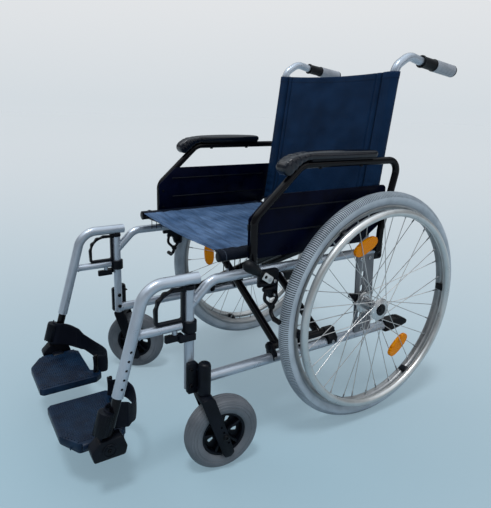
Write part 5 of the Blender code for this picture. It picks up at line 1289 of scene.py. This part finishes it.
# %% Mould the release lever
latch = slab([(0.2295, -0.568), (0.2415, -0.568), (0.2415, -0.541), (0.253, -0.541), (0.253, -0.502),
              (0.2474, -0.502), (0.2474, -0.5275), (0.2295, -0.5275)], "Z", 0.3155, 0.3305,
             (0.004, 0.004, 0.003, 0.004, 0.0024, 0.0024, 0.002, 0.003), 0.0014)
latch = carve(latch, bar((FRAME_X, LATCH_Y, 0.31), (FRAME_X, LATCH_Y, 0.336), 0.0032, 20))
thumb = [brick((0.23, -0.5655 + n * 0.0034, 0.3298), (0.241, -0.564 + n * 0.0034, 0.3311), 0.0003)
         for n in range(4)]
pair(join(latch, *thumb), "release_lever", black_moulded, "hanger_latch", "hanger_latch")

# %% [markdown]
# ## Footrest
#
# A black tube slides in the hanger. Its lower block has a ribbed sleeve and a round boss, and carries the
# footplate on a hinge pin, so that the plate can be flipped up.

# %% Build the footrest tube and its block
FLIP_X, FLIP_Y, FLIP_Z = 0.206, -0.698, 0.11
foot_tube = bar(on_hanger(0.124), on_hanger(HANGER_END) - down * 0.07, 0.01, 32, 0.0006)
pair(foot_tube, "sliding_tube", black_gloss, "footrest", "footrest_tube", slot="black_tube")
block_corners = ((-0.032, -0.0162), (0.034, -0.0162), (0.0385, 0.002), (0.03, 0.028), (-0.018, 0.028),
                 (-0.0375, 0.008))
block_outline = [(FLIP_Y + a, FLIP_Z + b) for a, b in block_corners]
foot_block = slab(block_outline, "X", 0.22, 0.251, (0.005, 0.006, 0.006, 0.006, 0.01, 0.008), 0.002, 6)
boss_rings = turned([(0.25, 0), (0.25, 0.015), (0.2526, 0.015), (0.2532, 0.0144), (0.2532, 0.0126),
                     (0.2522, 0.0122), (0.2522, 0.0104), (0.2534, 0.01), (0.2534, 0)],
                    (0, FLIP_Y, FLIP_Z + 0.005), "X", 44)
sleeve_at = on_hanger(0.148) + Vector((0.0008, -0.017, 0))
sleeve = bar(sleeve_at, sleeve_at - down * 0.051, 0.0172, 40, 0.003)
sleeve_ribs = []
for number in range(18):
    turn = 2 * math.pi * number / 18
    side = Vector((math.cos(turn) * 0.0171, math.sin(turn) * 0.0171, 0))
    sleeve_ribs.append(bar(sleeve_at + side - down * 0.0035, sleeve_at + side - down * 0.048, 0.0009, 6))
tongue = brick((FLIP_X, FLIP_Y - 0.0133, FLIP_Z - 0.0076), (0.223, FLIP_Y + 0.0133, FLIP_Z + 0.0076),
               0.0012)
knuckle = bar((FLIP_X, FLIP_Y - 0.0133, FLIP_Z), (FLIP_X, FLIP_Y + 0.0133, FLIP_Z), 0.008, 28, 0.0006)
pair(join(foot_block, boss_rings, sleeve, *sleeve_ribs, tongue, knuckle), "foot_block", black_moulded,
     "footrest")
flip_pin = bar((FLIP_X, FLIP_Y - 0.0442, FLIP_Z), (FLIP_X, FLIP_Y + 0.0442, FLIP_Z), 0.0038, 20, 0.0006)
boss_bolts = bolts_on(0.2532, 1, 0.0044, 0.002, (FLIP_Y, FLIP_Z + 0.005))
pair(join(flip_pin, *boss_bolts), "flip_pin", black_gloss, "footrest")

# %% Mould the ribbed footplate
PLATE_TOP, RIB_STEP = 0.1182, 0.0047
plate_outline = [(0.036, -0.77), (0.044, -0.778), (0.16, -0.778), (0.206, -0.748), (0.206, -0.655),
                 (0.196, -0.645), (0.076, -0.645), (0.068, -0.623), (0.05, -0.623), (0.036, -0.64)]
plate_radii = (0.004, 0.004, 0.012, 0.01, 0.004, 0.004, 0.004, 0.006, 0.006, 0.006)
foot_plate = slab(plate_outline, "Z", 0.1005, PLATE_TOP, plate_radii, 0.0022, 5)
foot_plate = carve(foot_plate, brick((0.197, FLIP_Y - 0.0145, 0.09), (0.24, FLIP_Y + 0.0145, 0.13), 0.0006))


def wavy_rib(y):
    """A low rib across the plate, with a slight wave, shorter at the cut corner and the hinge."""
    low_x, high_x, count = 0.043, 0.2, 24
    if y < -0.748:
        high_x = 0.165 + (y + 0.772) / 0.024 * 0.03
    if abs(y - FLIP_Y) < 0.018:
        high_x = 0.1925
    return pipe([(low_x + (high_x - low_x) * step / count, y + 0.0007 * math.sin(step * 1.3), PLATE_TOP)
                 for step in range(count + 1)], (), 0.0015, 8)


ribs = [wavy_rib(-0.7715 + number * RIB_STEP) for number in range(26)]
knuckles = [bar((FLIP_X, FLIP_Y + sign * 0.0437, FLIP_Z), (FLIP_X, FLIP_Y + sign * 0.0155, FLIP_Z), 0.0084,
                28, 0.0008) for sign in (-1, 1)]
under_webs = [brick((0.052, y - 0.001, 0.0985), (0.19, y + 0.001, 0.102), 0.0004)
              for y in (-0.762, -0.735, -0.675, -0.655)]
corner = slab([(0.115, -0.777), (0.16, -0.777), (0.205, -0.7475), (0.205, -0.716), (0.115, -0.716)], "Z",
              0.094, 0.108, (0, 0.01, 0.008), 0.0016)
for vert in corner.data.vertices:
    if vert.co.z < 0.101:
        vert.co.z += 0.007 * min(1.0, max(0.0, (0.205 - vert.co.x) / 0.07))
pair(join(foot_plate, *ribs, *knuckles, *under_webs, corner), "ribbed_plate", plate_plastic, "footplate",
     "footplate")
strap_post = turned([(0.11, 0), (0.11, 0.0052), (0.1185, 0.006), (0.1195, 0.005), (0.163, 0.0048),
                     (0.165, 0.004), (0.166, 0.002), (0.166, 0)], (0.059, -0.6335, 0), "Z", 28)
pair(strap_post, "strap_post", black_gloss, "footplate", slot="black_plastic")

# %% [markdown]
# ## Slings and straps
#
# The seat, the back and the heel straps are flat cloth. Each one is laid out as a grid in metres, as it was
# cut, with its columns and rows closer together where a seam or a hem will be. Every grid point is then put
# where the cloth lies, over the rails or round the canes. The cut sizes also give the cloth its UVs, so
# that the weave and the stitches follow the threads.

# %% Lay out a piece of cloth
def steps(low, high, pitch):
    """Evenly spaced values from low to high, about a pitch apart."""
    count = max(1, round((high - low) / pitch))
    return [low + (high - low) * number / count for number in range(count + 1)]


def with_seams(values, seams, reach=0.004, count=4):
    """The values, with closer ones added on both sides of each seam."""
    kept = [value for value in values if all(abs(value - seam) > reach for seam in seams)]
    for seam in seams:
        kept += [seam + reach * step / count for step in range(-count, count + 1)]
    low, high = min(values), max(values)
    return sorted(value for value in kept if low - 1e-9 <= value <= high + 1e-9)


def cloth(columns, rows, where, thickness):
    """A grid of cut cloth, put in place by where(across, along) and given its thickness."""
    bpy.ops.object.select_all(action="DESELECT")
    bpy.ops.mesh.primitive_grid_add(x_subdivisions=len(columns) - 1, y_subdivisions=len(rows) - 1, size=2)
    piece = bpy.context.object
    cut = []
    for vert in piece.data.vertices:
        column = round((vert.co.x + 1) / 2 * (len(columns) - 1))
        row = round((vert.co.y + 1) / 2 * (len(rows) - 1))
        cut.append((columns[column], rows[row]))
    for loop in piece.data.loops:
        piece.data.uv_layers.active.data[loop.index].uv = cut[loop.vertex_index]
    for vert, (across, along) in zip(piece.data.vertices, cut):
        vert.co = where(across, along)
    edit(piece)
    bpy.ops.mesh.normals_make_consistent(inside=False)
    bpy.ops.object.mode_set(mode="OBJECT")
    return use(piece, "SOLIDIFY", thickness=thickness, offset=0, use_even_offset=True)


def name_cloth(piece, name, material):
    """Name a sewn piece and give it its finish, smooth all over."""
    piece.name = piece.data.name = name
    piece.data.materials.clear()
    piece.data.materials.append(material)
    piece.data.shade_smooth()


def dent(distance, depth, width=0.0022):
    """How far a seam pulls the cloth in, at a distance from its stitches."""
    return depth * math.exp(-(distance / width) ** 2)


def hem_step(distance, width, height=0.0006):
    """The raised band of a folded hem, from its edge to its stitches."""
    return height / (1 + math.exp((distance - width) / 0.0006))


# %% Stitches, as a shader group
THREAD_HALF, SHOWN, THREAD_HEIGHT = 0.00055, 0.68, 1.6
stitch_group, start, end = new_group("stitches", dict.fromkeys(("Distance", "Along", "Pitch"), "Float"),
                                     {"Height": "Float"})
turns = sums(stitch_group, "FRACT", sums(stitch_group, "DIVIDE", start["Along"], start["Pitch"]))
near = sums(stitch_group, "LESS_THAN", start["Distance"], THREAD_HALF)
thread = sums(stitch_group, "MULTIPLY", near, sums(stitch_group, "LESS_THAN", turns, SHOWN))
feed(stitch_group, end, {"Height": thread})


# %% Bind the sides of a cloth, and sew lines of stitches
def over_colour(tree, factor, tone):
    """Lay a tone over a finish's base colour, as far as the factor says, and give the result."""
    shader = tree.nodes["Principled BSDF"]
    colour = shader.inputs["Base Color"].links[0].from_socket
    mixed = wire(tree, "Mix", {"Factor": factor, "A": colour, "B": (*tone, 1)},
                 data_type="RGBA").outputs["Result"]
    feed(tree, shader, {"Base Color": mixed})
    return mixed


def cut_place(tree):
    """Where a point is on the cut cloth: across it, and along it."""
    return wire(tree, "SeparateXYZ", {0: wire(tree, "TexCoord").outputs["UV"]}).outputs


def bind(material, edge, tone):
    """Give a cloth darker side strips, beyond a distance from its middle."""
    tree = material.node_tree
    over_colour(tree, sums(tree, "GREATER_THAN", sums(tree, "ABSOLUTE", cut_place(tree)[0]), edge), tone)


def paint_crease_shade(material, low):
    """Paint shade on a cloth in thin dark streaks across it, where its creases would lie in shade."""
    tree = material.node_tree
    shader = tree.nodes["Principled BSDF"]
    lay = wire(tree, "Mapping", {"Vector": wire(tree, "TexCoord").outputs["UV"], "Rotation": (0, 0, -0.2),
                                 "Scale": (7, 110, 1)})
    threads_and_crease_shade = wire(tree, "TexNoise", {"Vector": lay.outputs["Vector"], "Scale": 1.0, "Detail": 3.0})
    level = wire(tree, "MapRange", {"Value": threads_and_crease_shade.outputs["Fac"], "From Min": 0.4, "From Max": 0.58,
                                    "To Min": low})
    colour = shader.inputs["Base Color"].links[0].from_socket
    shade = wire(tree, "VectorMath", {0: colour, "Scale": level.outputs["Result"]}, operation="SCALE")
    feed(tree, shader, {"Base Color": shade.outputs["Vector"]})


def sew(material, lines, pitch=0.0036, tone=(0.1, 0.13, 0.18)):
    """Add lines of stitches to a cloth: each line is its direction, U or V, and its place in metres."""
    tree = material.node_tree
    place = cut_place(tree)
    total = 0.0
    for direction, spot in lines:
        across, along = (place[0], place[1]) if direction == "V" else (place[1], place[0])
        distance = sums(tree, "ABSOLUTE", sums(tree, "SUBTRACT", across, spot))
        stitch = wire(tree, "Group", {"Distance": distance, "Along": along, "Pitch": pitch},
                      node_tree=stitch_group)
        total = sums(tree, "MAXIMUM", total, stitch.outputs["Height"])
    bump = found(tree, "Bump")
    weave = bump.inputs["Height"].links[0].from_socket
    feed(tree, bump, {"Height": sums(tree, "ADD", weave, sums(tree, "MULTIPLY", total, THREAD_HEIGHT))})
    over_colour(tree, total, tone)


# %% [markdown]
# ## Seat sling
#
# Nylon stretched from rail to rail, in a slate-blue copy much lighter than the back's: painted light from
# above. It is wrapped over both rails, with a hem at the front and rear edges and a seam beside each rail,
# and the pull between the rails makes long shallow wrinkles, with painted crease shade in thin dark streaks.

# %% Cut and hang the seat
RAIL_REACH, FLAT_HALF = 0.0125, CANE_X
SEAT_FRONT, SEAT_REAR, SEAT_SAG, SEAT_HEM, CLOTH = -0.436, -0.03, 0.0045, 0.016, 0.002
SEAT_HALF = FLAT_HALF + RAIL_REACH * math.radians(110)
SEAT_SEAMS = (-0.2035, -0.199, 0.199, 0.2035)


def wrinkle(across, along, half):
    """Shallow folds that run from rail to rail, a little askew, and die out at the rails."""
    fade = max(0.0, 1 - (abs(across) / half) ** 6)
    askew = along + 0.22 * across
    folds = ((22, 3.0, 1.7), (62, 5.0, 7.3), (125, 6.0, 2.9), (38, 2.2, 4.1))
    broad, fine, thin, crease = [noise.noise(Vector((askew * a, across * b, seed))) for a, b, seed in folds]
    return fade * (0.0022 * broad + 0.0016 * fine + 0.0008 * thin - 0.008 * max(0.0, crease - 0.12))


def on_seat(across, along):
    """Where a point of the cut seat lies: between the rails, or wrapped over one."""
    side = math.copysign(1, across)
    seam = sum(dent(across - line, 0.0009) for line in SEAT_SEAMS)
    hem = hem_step(along - SEAT_FRONT, SEAT_HEM) + hem_step(SEAT_REAR - along, SEAT_HEM)
    if abs(across) <= FLAT_HALF:
        share = across / FLAT_HALF
        ends = 1 + 0.5 * math.exp(-((along - SEAT_FRONT) / 0.05) ** 2)
        sag = SEAT_SAG * ends * (1 - share * share)
        lift = RAIL_REACH - sag + wrinkle(across, along, FLAT_HALF) - seam + hem
        return Vector((across, along, RAIL_Z + lift))
    turn = math.pi / 2 - (abs(across) - FLAT_HALF) / RAIL_REACH
    reach = RAIL_REACH + hem - 0.4 * seam
    return Vector((side * (FLAT_HALF + reach * math.cos(turn)), along, RAIL_Z + reach * math.sin(turn)))


seat_columns = with_seams(steps(-SEAT_HALF, SEAT_HALF, 0.0038), SEAT_SEAMS[:1] + SEAT_SEAMS[3:], 0.008, 10)
seat_hems = (SEAT_FRONT + SEAT_HEM, SEAT_REAR - SEAT_HEM)
seat_rows = with_seams(steps(SEAT_FRONT, SEAT_REAR, 0.0026), seat_hems, 0.0024, 3)
seat = place(cloth(seat_columns, seat_rows, on_seat, CLOTH), (0, AXLE_Y, 0))
# Painted crease shade: thin dark streaks across the seat.
paint_crease_shade(seat_cloth, 0.66)
bind(seat_cloth, 0.205, (0.0015, 0.004, 0.011))
seat_stitches = [("V", line) for line in SEAT_SEAMS]
sew(seat_cloth, seat_stitches + [("U", SEAT_FRONT + 0.014), ("U", SEAT_REAR - 0.014)])
name_cloth(seat, "seat_cloth", seat_cloth)
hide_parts("seat_sling")
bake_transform(seat)
print("seat:", len(seat.data.polygons), "faces")

# %% [markdown]
# ## Back sling
#
# The same nylon as the seat, in the darker of its two copies, sewn into a sleeve round each cane. The
# sleeves keep their round shape when the chair folds, and only the panel between them gives way, so they
# are three pieces that meet at the double seams.

# %% Cut and hang the back
CANE_REACH, BACK_LOW, BACK_TOP, BACK_SAG, BACK_HEM = 0.0128, 0.505, 0.896, 0.0095, 0.017
BACK_SEAM, INNER_SEAM = 0.193, 0.174
LEAVE, STRAIGHT = math.radians(124), 0.0257
SLEEVE_END = CANE_X + CANE_REACH * (LEAVE + math.pi / 2) + STRAIGHT


def back_height(across, along):
    """The top edge hangs a little between the canes."""
    share = min(1.0, abs(across) / CANE_X)
    return along - 0.007 * (1 - share ** 2) * ((along - BACK_LOW) / (BACK_TOP - BACK_LOW)) ** 3


def tuck(along, reach):
    """Small tucks low on the cane, which die out over a reach."""
    return max(0.0, 1 - (along - BACK_LOW) / reach) * math.sin(along * 330 + 2 * math.sin(along * 41))


def on_back(across, along):
    """Where a point of the cut back lies: between the canes, or in the sleeve round one."""
    side = math.copysign(1, across)
    z = back_height(across, along)
    hem = hem_step(BACK_TOP - along, BACK_HEM) + hem_step(along - BACK_LOW, BACK_HEM)
    if abs(across) <= CANE_X:
        share = across / CANE_X
        fade = max(0.0, 1 - (abs(across) / 0.19) ** 8)
        soft = (0.0026 * noise.noise(Vector((across * 9, along * 7, 3.3)))
                + 0.0017 * noise.noise(Vector((across * 24, along * 34, 8.8))))
        seam = dent(abs(across) - BACK_SEAM, 0.0075, 0.0038) + dent(abs(across) - INNER_SEAM, 0.003, 0.0026)
        outward = min(1.0, max(0.0, (abs(across) - BACK_SEAM) / (CANE_X - BACK_SEAM)))
        sleeve = 0.0012 * math.sin(math.pi * outward) ** 2
        tucks = 0.001 * tuck(along, 0.16) if abs(across) > BACK_SEAM + 0.003 else 0.0
        depth = -CANE_REACH + BACK_SAG * (1 - share * share) + fade * soft + seam - hem - sleeve - tucks
        return Vector((across, cane_y(z) + depth, z))
    turn = -math.pi / 2 + (abs(across) - CANE_X) / CANE_REACH
    reach = CANE_REACH + hem + 0.0008 * max(0.0, tuck(along, 0.2))
    share = max(0.0, (turn - LEAVE) * CANE_REACH / STRAIGHT)
    turn = min(turn, LEAVE)
    spot = Vector((CANE_X + reach * math.cos(turn), reach * math.sin(turn), 0))
    spot = spot.lerp(Vector((0.195, -0.003, 0)), share)
    return Vector((side * spot.x, cane_y(z) + spot.y, z))


back_hems = (BACK_LOW + BACK_HEM, BACK_TOP - BACK_HEM)
back_rows = with_seams(steps(BACK_LOW, BACK_TOP, 0.0042), back_hems, 0.0024, 3)
panel_seams = (-BACK_SEAM, -INNER_SEAM, INNER_SEAM, BACK_SEAM)
panel_columns = with_seams(steps(-BACK_SEAM, BACK_SEAM, 0.0042), panel_seams, 0.004, 5)
back = place(cloth(panel_columns, back_rows, on_back, CLOTH), (0, AXLE_Y, 0))
stitched = (BACK_SEAM + 0.0022, BACK_SEAM - 0.0026, INNER_SEAM + 0.0018)
back_stitches = [("V", side * line) for side in (1, -1) for line in stitched]
back_stitches += [("U", BACK_TOP - 0.015), ("U", BACK_LOW + 0.015)]
sew(back_cloth, back_stitches, tone=(0.003, 0.007, 0.016))
name_cloth(back, "back_cloth", back_cloth)
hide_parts("back_sling")
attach(back, "left_frame")

sleeve_columns = with_seams(steps(BACK_SEAM + 0.0004, SLEEVE_END, 0.0026), (BACK_SEAM + 0.0004,), 0.004, 5)
for side, sign in (("left", 1), ("right", -1)):
    columns = sorted(sign * value for value in sleeve_columns)
    sleeve = place(cloth(columns, back_rows, on_back, CLOTH), (0, AXLE_Y, 0))
    dress(sleeve, side + "_back_sleeve", back_cloth, side + "_frame", (), "navy_nylon", 180)
print("back:", len(back.data.polygons), "faces")

# %% [markdown]
# ## Heel straps
#
# A webbing strap goes round each footrest tube, hangs behind the heel and ends round the post on the
# footplate. Its middle line is a smooth curve through a few chosen points, and the strap is wider at the
# tube.

# %% Cut and hang the heel straps
def smooth_line(points, pitch):
    """A curve through the points, as a list of points a pitch apart."""
    points = [points[0]] + points + [points[-1]]
    line = []
    for a, b, c, d in zip(points, points[1:], points[2:], points[3:]):
        for share in steps(0, 1, 0.05)[:-1]:
            line.append(0.5 * (2 * b + (c - a) * share + (2 * a - 5 * b + 4 * c - d) * share ** 2
                               + (3 * b - a - 3 * c + d) * share ** 3))
    line.append(points[-2])
    spaced, left = [line[0]], pitch
    for here, there in zip(line, line[1:]):
        span = (there - here).length
        done = 0.0
        while span - done >= left:
            done += left
            spaced.append(here.lerp(there, done / span))
            left = pitch
        left -= span - done
    return spaced


def ring(centre, radius, first, last, count):
    """Points on an arc in plan."""
    turns = [math.radians(first + (last - first) * step / count) for step in range(count + 1)]
    return [Vector((centre[0] + radius * math.cos(turn), centre[1] + radius * math.sin(turn), 0))
            for turn in turns]


STRAP_Z, POST, LOOP_R, STRAP_HALF, STEP = 0.1715, (0.059, -0.6335), 0.0205, 0.03, 0.004
tube_at = on_hanger(STRAP_Z)
bow_points = ((0.211, -0.66), (0.196, -0.635), (0.17, -0.614), (0.136, -0.6), (0.1, -0.595), (0.069, -0.605))
bow = [Vector((x, y, 0)) for x, y in bow_points]
strap_line = smooth_line(ring(tube_at, LOOP_R, -55, -190, 7) + bow + ring(POST, 0.0073, 10, -150, 4), STEP)
loop_length = LOOP_R * math.radians(135) + 0.045


def ease(share):
    """A smooth rise from 0 to 1."""
    return share * share * (3 - 2 * share)


def strap_half(along):
    """Half the strap's height: full at the tube, then tapered."""
    share = min(1.0, max(0.0, (along - loop_length) / 0.018))
    return STRAP_HALF - 0.0068 * ease(share)


def on_strap(along, across):
    """Where a point of the strap lies: on its line, drooping behind the heel and leaning with the tube."""
    number = min(len(strap_line) - 1, round(along / STEP))
    share = min(1.0, max(0.0, (along - 0.03) / 0.13))
    rise = across / STRAP_HALF * strap_half(along)
    back_up = min(1.0, max(0.0, (along - 0.2) / 0.09))
    droop = 0.043 * ease(share) - 0.0125 * back_up * back_up
    lean = math.tan(HANGER_SLOPE) * rise * max(0.0, 1 - max(0.0, along - 0.045) / 0.05)
    ahead = strap_line[min(len(strap_line) - 1, number + 1)] - strap_line[max(0, number - 1)]
    out = Vector((ahead.y, -ahead.x, 0)).normalized()
    rough = 0.0007 * noise.noise(Vector((along * 30, across * 25, 2.0)))
    bulge = share * (0.0012 * (1 - (across / STRAP_HALF) ** 2) + rough)
    swell = bulge + dent(along - loop_length, 0.0016, 0.004)
    return strap_line[number] + Vector((0, lean, STRAP_Z - droop + rise)) + out * swell


strap_columns = [STEP * number for number in range(len(strap_line))]
strap = cloth(strap_columns, steps(-STRAP_HALF, STRAP_HALF, 0.0045), on_strap, 0.0026)
sew(strap_cloth, [("U", 0.026), ("U", -0.026), ("V", loop_length - 0.006), ("V", loop_length + 0.006)],
    0.003, (0.01, 0.014, 0.022))
place(strap, (0, AXLE_Y, 0))
for side, piece in (("left", strap), ("right", place(copy(strap), mirror=True))):
    name_cloth(piece, side + "_webbing", strap_cloth)
    sum(2 * strap_half(along) * STEP for along in strap_columns[1:])
    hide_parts(side + "_heel_strap")
    sign = 1 if side == "left" else -1
    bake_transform(piece)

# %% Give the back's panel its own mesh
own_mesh(back)

# %% [markdown]
# ## The floor
#
# The floor is one large disc that isn't part of the chair. An oval pool of a bluer tone lies under the
# chair and fades away on all sides. For the camera alone, part of the floor glows with the colour it has in
# full light, so that the chair's shadow stays pale.

# %% Lay the floor
POOL_AT, POOL_LENGTH, POOL_CORE, POOL_FADE, UNSHADED_SHARE = (0.3, -0.3, 0), 2.0, 0.15, 1.8, 0.45
bpy.ops.object.select_all(action="DESELECT")
bpy.ops.mesh.primitive_circle_add(vertices=96, radius=30, fill_type="NGON", location=(0, 0, 0))
floor = bpy.context.object
floor.name = "floor"
floor_paint = finish("pale_floor", [0.995 * c for c in FLOOR_COLOUR], FLOOR_COLOUR, (0.9, 0.95), 6, 0.0,
                     gloss=0.0)
tree = floor_paint.node_tree
oval = wire(tree, "Mapping", {"Vector": wire(tree, "TexCoord").outputs["Object"], "Location": POOL_AT,
                              "Rotation": (0, 0, azimuth), "Scale": (POOL_LENGTH, 1, 1)},
            vector_type="TEXTURE")
away = wire(tree, "VectorMath", {0: oval.outputs["Vector"]}, operation="LENGTH").outputs["Value"]
beyond = sums(tree, "MAXIMUM", sums(tree, "SUBTRACT", away, POOL_CORE), 0.0)
near = sums(tree, "EXPONENT", sums(tree, "DIVIDE", beyond, -POOL_FADE))
tinted = over_colour(tree, near, NEAR_FLOOR)
print("the floor's pool fades over", POOL_FADE, "m")

# %% Make the shadow paler for the camera
full_light = [far / colour for far, colour in zip(FAR_FLOOR, FLOOR_COLOUR)]
unshaded = wire(tree, "Mix", {"Factor": 1.0, "A": tinted, "B": (*full_light, 1)}, data_type="RGBA",
                blend_type="MULTIPLY", clamp_result=False)
glow = wire(tree, "Emission", {"Color": unshaded.outputs["Result"]})
share = sums(tree, "MULTIPLY", wire(tree, "LightPath").outputs["Is Camera Ray"], UNSHADED_SHARE)
both = wire(tree, "MixShader", {0: share, 1: tree.nodes["Principled BSDF"].outputs[0], 2: glow.outputs[0]})
feed(tree, tree.nodes["Material Output"], {"Surface": both.outputs[0]})
floor.data.materials.append(floor_paint)
print("the shadow keeps", 1 - UNSHADED_SHARE, "of its depth")
